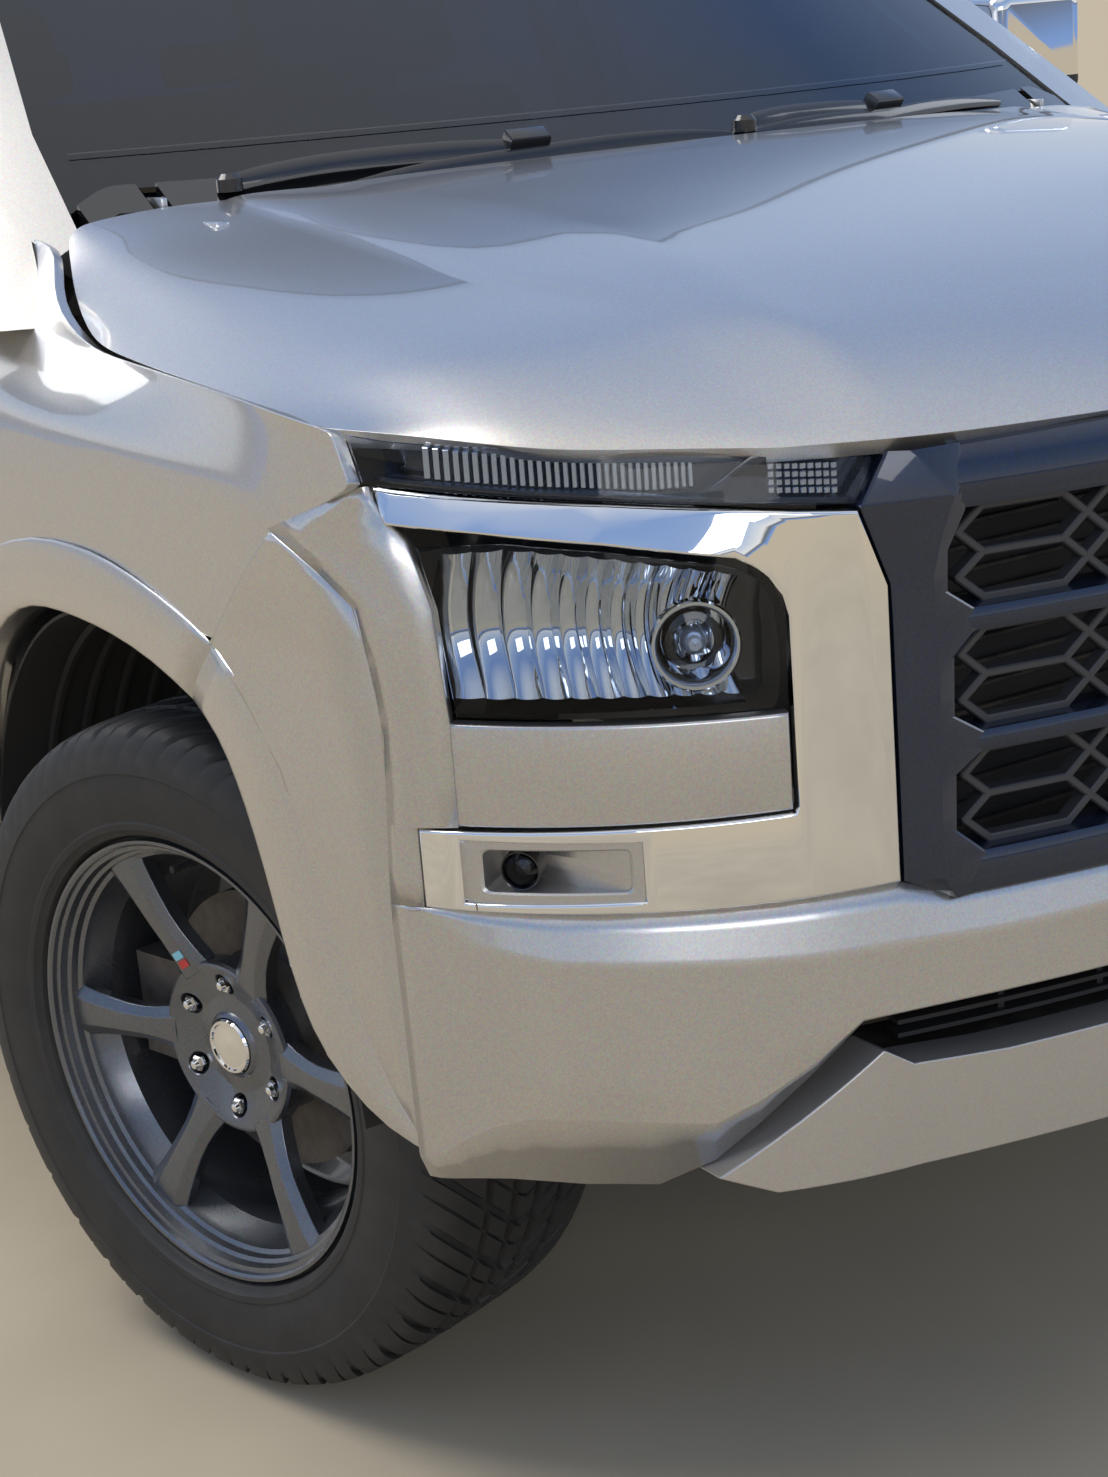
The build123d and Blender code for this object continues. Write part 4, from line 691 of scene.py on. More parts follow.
def band_skin():
    """The bumper's shelf and the face below it, from the middle to the corner crease."""
    rows = []
    for x in (0, 60, 120, 180, 240, 300, 360, 420, 478, 528, 567, 608, 648, 690, 724, 765, 816, 840, 861, 876, 888):
        line, top = along(SHELF_LINE, x), along(SHELF_TOP, x)
        low = 578 if x <= 608 else along([(608, 578), (733, 455), (761, 438)], x)
        tuck = max(along(TUCK_LINE, x), low + 3)
        heights = [low, tuck - 1.5, tuck, blend(tuck, line, 0.3), blend(tuck, line, 0.7), line - 5, line, line + 5,
                   blend(line, top, 0.6), top]
        rows.append([(run_at(x), z) for z in heights])
    heights = [438, 460, 464, 540, 620, 679, 684, 686, 688, 691]
    for share in (0.5, 1.0):
        rows.append([(blend(run_at(888), run_by(along(CORNER_Y, z)), share), z) for z in heights])
    return wrap_rows(rows, bumper_out, (-0.3, -1, 0))


def post_skin():
    """The strip of bumper between the lamps and the corner crease."""
    rows = []
    for z in (691, 715, 740, 760.5, 762, 800, 851, 900, 944, 975, 998, 1012, 1030, 1041):
        edge = along([(691, 886.5), (760.5, 886.5), (762, 866.5), (851, 866.5), (944, 870.5), (998, 880.5),
                      (1012, 888.5), (1041, 897.5)], z)
        back = run_by(along(CORNER_Y, z)) if z < 998 else run_by(along([(998, -448), (1041, -566)], z))
        rows.append([(blend(run_at(edge), back, share), z) for share in (0, 0.35, 0.7, 1)])

    def out(run, z):
        if z >= 994:
            return 2.0 * (1041 - z) / 47
        return crease_out(z) * max(0.0, 1 - (run_by(along(CORNER_Y, z)) - run) / 70)
    return wrap_rows(rows, out, (-0.3, -1, 0))


both(fender_skin, "fender_panel", silver_paint, stands_for=("front_fenders",), subdivide=1, wall=0.012,
     bevel=0.0022, smooth=46)
both(lambda: flare_band(0, SEAM_ROW + 1), "fender_flare", silver_paint, subdivide=1, wall=0.003, smooth=46)
both(lambda: flare_band(SEAM_ROW, len(ARCH_EDGE)), "bumper_flare", silver_paint, subdivide=1, wall=0.003, smooth=46)
both(corner_skin, "bumper_corner", silver_paint, stands_for=("front_bumper",), wall=0.004, smooth=40)
piece(whole(band_skin), "bumper_band", silver_paint, wall=0.004, smooth=24)
both(post_skin, "bumper_post", silver_paint, wall=0.012, smooth=40)
both(lambda: nose_plate([(867, 849.5), (652, 846), (652, 764.5), (885, 762)], 14, edge=3, steps=3), "lamp_panel",
     silver_paint)

# Chrome round the headlamp and the fog lamp. Its upper band leans back towards the strip lamp.
CHROME_LINE = [(650, 940), (664, 957), (687, 975), (772, 993), (842, 1005), (888, 1012)]
STRIP_FOOT = [(591, 1004), (662, 1012), (771, 1026), (856, 1036), (897, 1043)]


def chrome_out(run, z):
    x = x_at(run)
    low, high = along(CHROME_LINE, x) + 3, along(STRIP_FOOT, x)
    lean = max(0.0, min(1.0, (z - low) / (high - low))) if x > 640 else 0.0
    return 4.0 - 15.0 * lean * min(1.0, (x - 640) / 60)


chrome_outline = [(896, 1040), (856, 1033), (771, 1023), (662, 1009), (592, 1001), (568.5, 938), (566.5, 689),
                  (859.9, 690.7), (859.9, 698), (760, 700), (760, 750), (866, 752), (866, 698), (860.1, 698),
                  (860.1, 690.7), (886, 691), (886, 759), (770, 761.5), (652, 763), (649, 768), (650, 925),
                  (654, 942), (664, 957), (675, 968), (687, 975), (772, 993), (842, 1005), (888, 1012)]
both(lambda: nose_plate(chrome_outline, 14, chrome_out, edge=2.5, steps=3, levels=(985, 997, 1009, 1021, 1031)),
     "lamp_chrome", chrome, stands_for=("chrome_trims",), smooth=30)

# Lamps: forms are drawn flat, as distance along the nose, depth and height, and then bent onto it
STRIP_TOP = [(566, 1041), (660, 1050), (768, 1062), (854, 1072), (902, 1081)]
STRIP_LINE = [(591, 1005), (662, 1013), (771, 1027), (856, 1037), (897, 1044)]
LENS_BACK = -11.0


def strip_edge(x):
    return along(STRIP_LINE, x), along(STRIP_TOP, x)


def lens_out(run, z):
    """The lens sits back from the chrome, and comes forward to the fender at its outer end."""
    x = x_at(run)
    low, high = strip_edge(x)
    lean = min(1.0, max(0.0, (z - low) / (high - low)))
    return along([(820, -5.0 - 11.0 * lean), (885, -1.0 - 3.0 * lean)], x)


def strip_plate(rise, drop, thick, relief, **options):
    """A plate of the strip lamp's outline, a little larger above and below."""
    outline = [(x, z + rise) for x, z in STRIP_TOP[::-1]] + [(x, z - drop) for x, z in STRIP_LINE]
    return nose_plate(outline, thick, relief, **options)


def strip_prisms():
    """Fine upright prisms in the outer part and square ones at the inner end."""
    form = bmesh.new()
    x = 872.0
    while x > 706:
        low, high = strip_edge(x)
        front = 5 + 6 * (1 - (x - 706) / 166)
        box(form, run_at(x - 1.6), run_at(x + 1.6), front, front + 8, low + 5 + 5 * max(0.0, (740 - x) / 34), high - 6)
        x -= 5.2
    for x in (652 - 6.5 * i for i in range(9)):
        low, high = strip_edge(x)
        pitch = (high - low - 12) / 4
        for z in (low + 6 + pitch * k for k in range(4)):
            box(form, run_at(x - 2.6), run_at(x + 2.6), 6, 15, z, z + pitch - 1.4)
    break_edges(form, form.edges, 0.6)
    return bend(form, lambda run, z: LENS_BACK - 4)


def strip_divider():
    """The dark wedge between the two groups of prisms."""
    return nose_plate([(706, 1024), (668, 1051), (656, 1049), (656, 1013), (700, 1018)], 12,
                      lambda run, z: LENS_BACK, edge=1.5, front=3)


def strip_foot():
    """The dark bar along the strip lamp's foot."""
    return nose_plate([(896, 1048), (771, 1031), (662, 1017), (592, 1009), (592, 1005), (662, 1013), (771, 1027),
                       (896, 1044)], 14, lambda run, z: LENS_BACK - 3, edge=0.6)


both(lambda: strip_plate(0, 0, 3, lens_out, edge=0.8, levels=(1018, 1032, 1046, 1060)), "strip_lens", smoked_lens,
     stands_for=("strip_lamps",))
both(lambda: strip_plate(2, 1, 4, lambda run, z: LENS_BACK - 26), "strip_housing", gloss_black)
both(strip_prisms, "strip_prisms", reflector)
both(strip_divider, "strip_divider", gloss_black)
both(strip_foot, "strip_foot", gloss_black)

LAMP_OUTLINE = [(879, 998), (869.5, 944), (865.5, 852), (662, 848), (656, 856), (654, 900), (657, 940), (668, 960),
                (687, 972), (773, 990), (831, 1000)]


def lamp_bowl():
    """The headlamp's seal, its dark frame and its deep black bowl."""
    form = bmesh.new()
    inner = [outline_face(form, LAMP_OUTLINE, 1.0)]
    for width, depth, finish in ((3.0, 2.5, 0), (2.5, -6.0, 0), (4.0, -6.0, 1), (3.0, -52.0, 1)):
        ring = bmesh.ops.inset_region(form, faces=inner, thickness=width, depth=0.0, use_even_offset=True)["faces"]
        bmesh.ops.translate(form, vec=(0, -depth, 0), verts=list({vertex for held in inner for vertex in held.verts}))
        for held in ring:
            held.material_index = finish
    for held in inner:
        held.material_index = 1
    slice_up(form)
    wrap(form)
    return form


def lamp_reach(x):
    """The reflector's lowest and highest places at a place across the truck."""
    low = along([(656, 864), (866, 868)], x)
    high = along([(656, 925), (668, 948), (687, 960), (773, 978), (831, 988), (872, 985)], x)
    return low, high


def lamp_mirror():
    """The reflector: a bowl of upright facets, each curved, that deepens towards the bulb."""
    rows = []
    steps, facets = 99, 11
    for i in range(steps + 1):
        share = i / steps
        x = blend(868, 682, share)
        low, high = lamp_reach(x)
        facet = (share * facets) % 1.0 * 2 - 1
        wave = (4.5 + 4.5 * share) * (1 - facet * facet)
        deepest = 40 * (0.55 + 0.45 * math.sin(math.pi * share))
        row = []
        for v in (k / 12 for k in range(13)):
            bowl = 10 + deepest * math.sin(math.pi * min(1, v * 0.9 + 0.05)) ** 0.7
            row.append((run_at(x + 11 * math.sin(math.pi * v)), bowl - wave, blend(low, high, v)))
        rows.append(row)
    form = skin(rows)
    wrap(form)
    return facing(form, (-0.5, -1, 0))


def lamp_tray():
    """The finely ribbed shelf under the reflector."""
    rows = []
    steps = 168
    for i in range(steps + 1):
        x = blend(866, 682, i / steps)
        ridge = 0.9 * (i % 2)
        rows.append([(run_at(x), depth + ridge, z + ridge) for depth, z in ((6, 857), (16, 859), (30, 863), (48, 870))])
    form = skin(rows)
    wrap(form)
    return facing(form, (0, -0.5, 1))


def lamp_turned(profile, x, z, steps=40):
    """A turned piece of a lamp: its profile is (radius, depth)."""
    form = spun(profile, (0, 1, 0), steps)
    bmesh.ops.translate(form, vec=(run_at(x), 0, z), verts=form.verts)
    return bend(form)


both(lamp_bowl, "lamp_bowl", (gloss_black, smoked_frame))
both(lamp_mirror, "lamp_mirror", reflector, smooth=60)
both(lamp_tray, "lamp_tray", reflector, smooth=60)
BULB_X, BULB_Z = 716, 906
for name, finish, profile in (
        ("lamp_ring", reflector, [(37, 18), (37, 9), (35.5, 7), (33, 7), (31, 10), (29.5, 20), (27, 34), (20, 44),
                                  (12, 48)]),
        ("lamp_bulb", bulb_glass, [(12, 48), (12, 26), (10.5, 22), (9, 18), (5, 13), (0.5, 12)]),
        ("lamp_shade", gloss_black, [(27, 30), (24, 24), (18, 22), (17, 24), (17, 34)])):
    both(lambda: lamp_turned(profile, BULB_X, BULB_Z), name, finish)
both(lambda: nose_plate([(876, 994), (867, 944), (863, 855), (664, 851), (659, 860), (658, 900), (661, 938), (671, 957),
                         (689, 969), (773, 987), (831, 996)], 2.5,
                        lambda run, z: -2.0 + 4.5 * math.sin(math.pi * min(1, max(0, (z - 851) / 146))),
                        edge=0.8, levels=(870, 890, 910, 930, 950, 970)),
     "lamp_lens", clear_lens, stands_for=("headlamps",))

# Grille: two faceted posts, three bars and a band round three rows of slots
POST_OUTER = [(668, 528), (675, 540), (688, 564), (908, 566), (938, 567), (1003, 591), (1042, 563)]
POST_FACET = [(668, 520), (697, 535), (858, 533), (941, 536), (973, 528), (1004, 516), (1037, 540), (1042, 545)]
POST_INNER = [(668, 490), (699, 490), (703, 492), (725, 517), (772, 516), (788, 493), (805, 490), (822, 516),
              (871, 515), (890, 496), (909, 496), (926, 519), (959, 518), (990, 502), (1042, 500)]
SLOT_ROWS = ((703, 788), (806, 890), (909, 990))


def bend_rows(rows, way):
    """A skin through rows of (distance along the nose, height, outward), bent onto the nose."""
    form = skin([[(run, -out, z) for run, z, out in row] for row in rows])
    wrap(form)
    return facing(form, way)


def grille_post():
    rows = []
    for z in sorted({z for z, x in POST_OUTER + POST_FACET + POST_INNER} | {740, 755, 840, 940}):
        outer, facet, inner = along(POST_OUTER, z), along(POST_FACET, z), along(POST_INNER, z)
        lift = -10 * max(0.0, (z - 1012) / 30) ** 1.2 - 4 * max(0.0, (690 - z) / 22)
        rows.append([(run_at(outer - 1), z, -30), (run_at(outer - 1), z, 2 + lift), (run_at(outer - 3), z, 4 + lift),
                     (run_at(facet + 1.5), z, 13 + lift), (run_at(facet - 1.5), z, 13 + lift),
                     (run_at(inner + 4), z, 8 + lift), (run_at(inner + 1), z, 6.5 + lift),
                     (run_at(inner - 3), z, -34)])
    return bend_rows(rows, (-0.5, -1, 0))


def across(end, section, way):
    """A skin from the post to the middle, the same all along; its section is (height, outward)."""
    return bend_rows([[(run_at(x), z, out) for z, out in section] for x in (end, *range(500, -1, -25))], way)


def grille_bar(low, high, front=8.5, lip=5.0):
    """A bar across the grille."""
    return across(516, [(low - 2, -32), (low, front - 3), (low + lip, front), ((low + high) / 2, front),
                        (high - lip, front), (high, front - 3), (high + 2, -32)], (0, -1, 0))


def grille_band():
    """The band over the slots, which rolls back under the hood."""
    return across(510, [(988, -32), (991, 5), (997, 8.5), (1012, 8.5), (1024, 5), (1038, -3), (1043, -12)],
                  (0, -1, 0.2))


def hex_bar(form, start, end, width=7, front=9, depth=16):
    """Add a straight bar between two places of the flat grille."""
    (x0, z0), (x1, z1) = start, end
    block(form, ((x0 + x1) / 2, front + depth / 2, (z0 + z1) / 2),
          (math.hypot(x1 - x0, z1 - z0) + width * 0.9, depth, width),
          Matrix.Rotation(-math.atan2(z1 - z0, x1 - x0), 4, "Y"))


def hex_mesh():
    """Long hexagonal cells in each slot."""
    form = bmesh.new()
    for low, high in SLOT_ROWS:
        middle = (low + high) / 2
        for x in (445 - 121 * k for k in range(5)):
            for z in (low + 3, middle, high - 3):
                hex_bar(form, (x - 38, z), (x + 38, z))
            for way in (-1, 1):
                for top, bottom in ((high - 3, middle), (middle, low + 3)):
                    tip = (x + way * 60.5, (top + bottom) / 2)
                    hex_bar(form, (x + way * 38, top), tip)
                    hex_bar(form, tip, (x + way * 38, bottom))
    break_edges(form, form.edges, 1.4)
    cut(form, (0, 0, 0), (-1, 0, 0), clear_outer=True)
    return bend(form)


def lower_mesh():
    """The slats in the bumper's lower opening."""
    form = bmesh.new()
    for z, reach in ((540, 560), (552, 576), (564, 586), (574, 592)):
        for x in range(0, reach - 20, 40):
            box(form, run_at(x), run_at(min(x + 40, reach)), 26, 48, z - 3, z + 1)
    for x in range(60, 560, 100):
        box(form, run_at(x - 3), run_at(x + 3), 32, 46, 534, 577)
    return bend(form)


both(grille_post, "grille_post", navy_gloss, stands_for=("grille_surround",), smooth=20)
piece(whole(grille_band), "grille_band", navy_gloss, smooth=50)
for number, (low, high) in enumerate(((668, 703), (788, 806), (890, 909))):
    piece(whole(lambda: grille_bar(low, high)), f"grille_bar_{number}", navy_gloss, smooth=50)
both(hex_mesh, "hex_mesh", mesh_grey, stands_for=("grille_mesh",))
both(lower_mesh, "lower_mesh", black_plastic)
piece(bars([(-515, 515, -706.5, -699.5, 543 + 21 * i, 547 + 21 * i) for i in range(21)], 0.8, 1), "radiator_fins",
      chassis_black)

# Fog lamps: a framed scoop that grows deeper towards the lamp at its outer end
def frame_loop(x0, x1, z0, z1, depth):
    """A closed loop round a rectangle with rounded corners; depth is a number or a function of x."""
    points = []
    r = min(5.0, (z1 - z0) / 3)
    for cx, cz, start in ((x1 - r, z1 - r, 0), (x0 + r, z1 - r, 90), (x0 + r, z0 + r, 180), (x1 - r, z0 + r, 270)):
        for turn_by in (0, 30, 60, 90):
            angle = math.radians(start + turn_by)
            points.append((cx + r * math.cos(angle), cz + r * math.sin(angle)))
        if start in (0, 180):
            far = x0 + r if start == 0 else x1 - r
            points += [(blend(cx, far, k / 5), points[-1][1]) for k in range(1, 5)]
    return [(run_at(x), depth(x) if callable(depth) else depth, z) for x, z in points]


def fog_scoop(x):
    return along([(772, 3.0), (812, 20.0), (830, 40.0), (858, 42.0)], x)


def fog_frame():
    """The frame and its scoop, closed at the back."""
    form = skin([frame_loop(*row) for row in (
        (759, 867, 697, 753, 14), (759, 867, 697, 753, 0.5), (760.5, 865.5, 698.5, 751.5, -1.0),
        (767, 857, 706, 745, -1.0), (768.5, 855.5, 707.5, 743.5, 0.6), (769, 855, 708, 743, fog_scoop),
        (770, 854, 719, 732, fog_scoop))], closed=True)
    back = [edge for edge in form.edges if edge.is_boundary and edge.calc_length() > 0
            and all(718 < vertex.co.z < 733 for vertex in edge.verts)]
    bmesh.ops.holes_fill(form, edges=back, sides=0)
    return bend(form)


both(fog_frame, "fog_frame", satin_silver, stands_for=("fog_bezels",), smooth=30)
FOG_X, FOG_Z = 836, 725.5
for name, finish, steps, replaced, profile in (
        ("fog_ring", gloss_black, 32, (), [(17.2, 38), (17.2, 4), (16.6, 2.5), (15.6, 3), (14.8, 6), (14.8, 14)]),
        ("fog_lens", smoked_lens, 32, ("fog_lamps",), [(15, 7), (13.5, 4.5), (10, 2.6), (5, 1.6), (0.3, 1.3)]),
        ("fog_bowl", smoked_frame, 24, (), [(14.8, 12), (12.5, 20), (9, 26), (7, 26), (6, 14), (0.3, 12)])):
    both(lambda: lamp_turned(profile, FOG_X, FOG_Z, steps), name, finish, stands_for=replaced)

# Wheels: each is made in its own frame, with its outer face towards +X
STEERED = 15.4
HALF_TRACK, WHEELBASE, HUB_HEIGHT, KINGPIN = 785, 3130, 370, 705


def wheel_place(end, sign):
    place = Matrix.Translation((HALF_TRACK * sign, WHEELBASE if end == "rear" else 0, HUB_HEIGHT))
    if sign < 0:
        place = place @ Matrix.Rotation(math.pi, 4, "Z")
    if end == "front":
        kingpin = Matrix.Translation((KINGPIN * sign, 0, 0))
        place = kingpin @ Matrix.Rotation(math.radians(STEERED), 4, "Z") @ kingpin.inverted() @ place
    return to_truck @ place


def on_wheels(make, name, finish, stands_for=(), **options):
    """The same piece on each of the four wheels."""
    pattern = make()
    for end in ("front", "rear"):
        for side, sign in SIDES:
            names = [f"{node}_{end}_{side}" for node in stands_for]
            piece(pattern.copy(), f"{name}_{end}_{side}", finish, f"wheel_body_{end}_{side}", names,
                  place=wheel_place(end, sign), **options)
    pattern.free()


def turned(profile, steps, closed=False, angle=math.tau):
    """A form turned about the X axis from (x, radius) points."""
    return spun(profile, (1, 0, 0), steps, closed, angle)


# Tyre section: across, radius, groove depth, sweep of the grooves in pitches, and how far they have closed
PITCHES = 36
HALF_SECTION = [(0, 369.8, 7.5, 0.0, 0), (11, 369.7, 7.5, 0.1, 0), (13, 362.5, 0, 0.12, 0), (22, 362.3, 0, 0.2, 0),
                (24, 369.6, 7.5, 0.25, 0), (36, 369.4, 7.5, 0.42, 0), (50, 369, 7.5, 0.62, 0), (52, 361.5, 0, 0.64, 0),
                (60, 361.2, 0, 0.76, 0), (62, 368.6, 7.5, 0.8, 0), (76, 368, 7.5, 1.0, 0), (92, 366.8, 7.5, 1.24, 0),
                (104, 364.8, 7, 1.42, 0), (113, 361, 6, 1.55, 0.1), (120, 354, 4.5, 1.66, 0.35),
                (125, 344, 3, 1.76, 0.6), (128, 334, 1.6, 1.84, 0.85), (129.6, 326, 0, 1.9, 1), (131.2, 318, 0, 1.9, 1),
                (130.0, 316, 0, 1.9, 1), (130.9, 300, 0, 1.9, 1), (130, 286, 0, 1.9, 1), (128.2, 275, 0, 1.9, 1),
                (126.2, 266, 0, 1.9, 1), (127.2, 263.5, 0, 1.9, 1), (126.2, 257, 0, 1.9, 1), (122.5, 254, 0, 1.9, 1),
                (120, 249.6, 0, 1.9, 1), (113, 247.2, 0, 1.9, 1), (107.6, 245.4, 0, 1.9, 1), (105.2, 233.0, 0, 1.9, 1)]


def tyre_skin():
    section = [(-x, *rest) for x, *rest in HALF_SECTION[:0:-1]] + HALF_SECTION
    rows = []
    for place, cut in ((0.0, 0.0), (0.40, 0.0), (0.415, 0.6), (0.455, 0.6), (0.47, 0.0), (0.80, 0.0), (0.83, 1.0),
                       (0.97, 1.0), (1.0, 0.0)):
        row = []
        for x, radius, depth, sweep, closing in section:
            centre = 0.435 if place < 0.6 and cut else 0.9
            spot = blend(place, centre, closing) if cut else place
            angle = math.tau * (spot + sweep) / PITCHES
            reach = radius - depth * cut
            row.append((x, reach * math.cos(angle), reach * math.sin(angle)))
        rows.append(row)
    form = skin(rows, closed=True)
    bmesh.ops.spin(form, geom=form.verts[:] + form.edges[:] + form.faces[:], cent=(0, 0, 0), axis=(1, 0, 0),
                   dvec=(0, 0, 0), angle=math.tau * (PITCHES - 1) / PITCHES, steps=PITCHES - 1, use_duplicate=True)
    bmesh.ops.remove_doubles(form, verts=form.verts, dist=0.02)
    bmesh.ops.recalc_face_normals(form, faces=form.faces)
    return form


# Rim: spokes at 0, 60, 120 ... degrees, and a nut pocket between each two
HUB_X = [(30, 65), (33, 64.5), (36, 61), (54, 57.5), (57, 58), (86, 69.5), (91, 71), (94, 70), (96, 66)]
SPOKE_ROWS = [(84, 30, 70), (96, 25.5, 73.0), (112, 22, 76.5), (132, 20, 81), (152, 20.5, 85.2), (174, 22.5, 88.5),
              (196, 25.5, 91.5), (212, 29, 93.6), (226, 34, 94.5)]
NUT_CIRCLE, VALVE_CIRCLE = 69.85, 213
NUT_PLACES = [(NUT_CIRCLE * math.cos(math.radians(angle)), NUT_CIRCLE * math.sin(math.radians(angle)))
              for angle in range(30, 360, 60)]
TO_FACE = Matrix.Rotation(math.pi / 2, 4, "Y")


def rim_hub():
    """The dished hub with its six nut pockets."""
    form = bmesh.new()
    rings = []
    for radius, steps, spots in ((86, 72, [(0, 0)]), (54, 48, [(0, 0)]), (13, 24, NUT_PLACES)):
        for y, z in spots:
            made = bmesh.ops.create_circle(form, segments=steps, radius=radius,
                                           matrix=Matrix.Translation((0, y, z)) @ TO_FACE)["verts"]
            rings.append(list({edge for vertex in made for edge in vertex.link_edges}))
    bmesh.ops.triangle_fill(form, use_beauty=True, use_dissolve=False, edges=form.edges[:], normal=(1, 0, 0))
    for vertex in form.verts:
        vertex.co.x = along(HUB_X, math.hypot(vertex.co.y, vertex.co.z))

    def pull(edges, radius, depth_of, middle=(0, 0)):
        """Draw a ring on to another radius about its middle, and to another depth."""
        made = bmesh.ops.extrude_edge_only(form, edges=edges)["geom"]
        for vertex in (item for item in made if isinstance(item, bmesh.types.BMVert)):
            y, z = vertex.co.y - middle[0], vertex.co.z - middle[1]
            size = radius / math.hypot(y, z)
            vertex.co = (depth_of(vertex.co.x), middle[0] + y * size, middle[1] + z * size)
        return [item for item in made if isinstance(item, bmesh.types.BMEdge)]

    for edge, route in zip(rings, (((91, 71), (94, 70), (96, 66), (96, 46), (80, 33)),
                                   ((37, 60.5), (34, 64), (32, 65), (31, 63), (31, 50)))):
        for radius, x in route:
            edge = pull(edge, radius, lambda old: x)
    for edge, middle in zip(rings[2:], NUT_PLACES):
        for radius, depth in ((12.2, -1.2), (11.6, -16)):
            edge = pull(edge, radius, lambda old: old + depth, middle)
        bmesh.ops.contextual_create(form, geom=edge)
    return facing(form, (1, 0, 0))


def rim_spokes():
    """Six dished spokes: a narrow flat front, sloping sides and a wide foot at each end."""
    section = [(-26, 0.8), (-7.5, 1), (0, 0.5), (0.8, 0), (0, -0.5), (-7.5, -1), (-26, -0.8)]
    forms = []
    for k in range(6):
        form = filled(skin([[(front + depth, half * share, radius) for depth, share in section]
                            for radius, half, front in SPOKE_ROWS], closed=True))
        form.transform(Matrix.Rotation(math.radians(60 * k - 90), 4, "X"))
        forms.append(form)
    return gather(forms)


def rim_barrel():
    """The barrel, with the stepped lip at its outer end."""
    return turned([(118, 243), (118, 239.5), (115.5, 236.8), (110.5, 236), (109, 231.5), (101, 229.5), (98.5, 225.5),
                   (91, 224), (88, 219.5), (80, 217.5), (58, 205), (50, 204), (-46, 204), (-66, 214), (-104, 222),
                   (-117, 230), (-118, 243), (-108, 243), (-106, 232.2), (-60, 224), (-40, 214), (50, 214), (70, 224),
                   (106, 232.2), (108, 243)], 96, closed=True)


def wheel_nuts():
    """Six hexagon nuts with coned seats and domed ends."""
    form = bmesh.new()
    for y, z in NUT_PLACES:
        stack(form, Matrix.Translation((0, y, z)) @ TO_FACE,
              ((48, 64, 9.2, 9.2, 6), (64, 67, 9.2, 7.4, 6), (67, 71, 6.4, 4.5, 18), (71, 72.5, 4.5, 1.5, 18)))
    return form


def wheel_stripe(radius, length=9):
    """A short painted band across one spoke."""
    form = bmesh.new()
    front = along([(row[0], row[2]) for row in SPOKE_ROWS], radius)
    block(form, (front + 0.75, 0, radius), (1.2, 15, length), Matrix.Rotation(math.atan2(81 - 73, 132 - 96), 4, "Y"))
    break_edges(form, form.edges, 0.3)
    form.transform(Matrix.Rotation(math.radians(30), 4, "X"))
    return form


def valve_stem():
    form = turned([(74, 1.2), (74, 4.6), (88, 4.2), (90, 3.2), (100, 3.2), (101, 4.0), (112, 4.0), (113, 2.8),
                   (113, 0.2)], 20)
    bmesh.ops.translate(form, vec=(0, 0, VALVE_CIRCLE), verts=form.verts)
    return form


on_wheels(tyre_skin, "tyre_shape", rubber, ("tyre",), smooth=26)
on_wheels(rim_barrel, "rim_barrel", gunmetal, smooth=20)
on_wheels(rim_hub, "rim_hub", gunmetal, ("rim",), smooth=24)
on_wheels(rim_spokes, "rim_spokes", gunmetal, smooth=22, bevel=0.0016)
on_wheels(wheel_nuts, "wheel_nuts", chrome, smooth=30)
on_wheels(lambda: turned([(52, 30.5), (66, 30.5), (68.5, 29), (68.5, 26.5), (66.5, 25.5), (66.2, 23), (67.6, 12),
                          (68, 0.2)], 48), "wheel_cap", chrome, smooth=30)
on_wheels(lambda: wheel_stripe(110), "blue_stripe", blue_stripe)
on_wheels(lambda: wheel_stripe(99.5), "red_stripe", red_stripe)
on_wheels(valve_stem, "valve_stem", black_plastic)


# Windows: a black border on the outer face
def bordered(name, way, border):
    form = copy_of(name)
    face = [one for one in form.faces if one.normal.dot(Vector(way).normalized()) > 0.8]
    ring = bmesh.ops.inset_region(form, faces=face, thickness=border, use_even_offset=True, use_boundary=True)
    for one in ring["faces"]:
        one.material_index = 1
    in_place(form, name, (tinted_glass, frit_black), smooth=20)


bordered("rear_window", (0, 1, 0.2), 0.035)
for side, sign in SIDES:
    for end in ("front", "rear"):
        bordered(f"{end}_door_glass_{side}", (sign, 0, 0.3), 0.018)


# Wipers, parked along the screen's base
SCREEN_RADIUS, SCREEN_SLOPE, SCREEN_FOOT_Y, SCREEN_FOOT_Z = 1700, 0.6176, 215, 1243


def screen_bow(x):
    """How far the windscreen lies behind its middle, at a place across the truck."""
    return SCREEN_RADIUS - math.sqrt(SCREEN_RADIUS * SCREEN_RADIUS - x * x)


def over_screen(x, y, height):
    """A point over the windscreen's face, which bows forward in the middle."""
    return (x, y, SCREEN_FOOT_Z + (y - screen_bow(x) - SCREEN_FOOT_Y) * SCREEN_SLOPE + height)


def screen_band(low, high, reach):
    """A band on the windscreen's face, from one distance up from its base to another."""
    rows = []
    for x in (blend(-reach, reach, k / 32) for k in range(33)):
        foot = SCREEN_FOOT_Y + screen_bow(x)
        rows.append([over_screen(x, foot + rise, 0.7) for rise in (low, blend(low, high, 0.5), high)])
    return facing(skin(rows), (0, -1, 1))


piece(screen_band(52, 54, 715), "screen_line", frit_black)


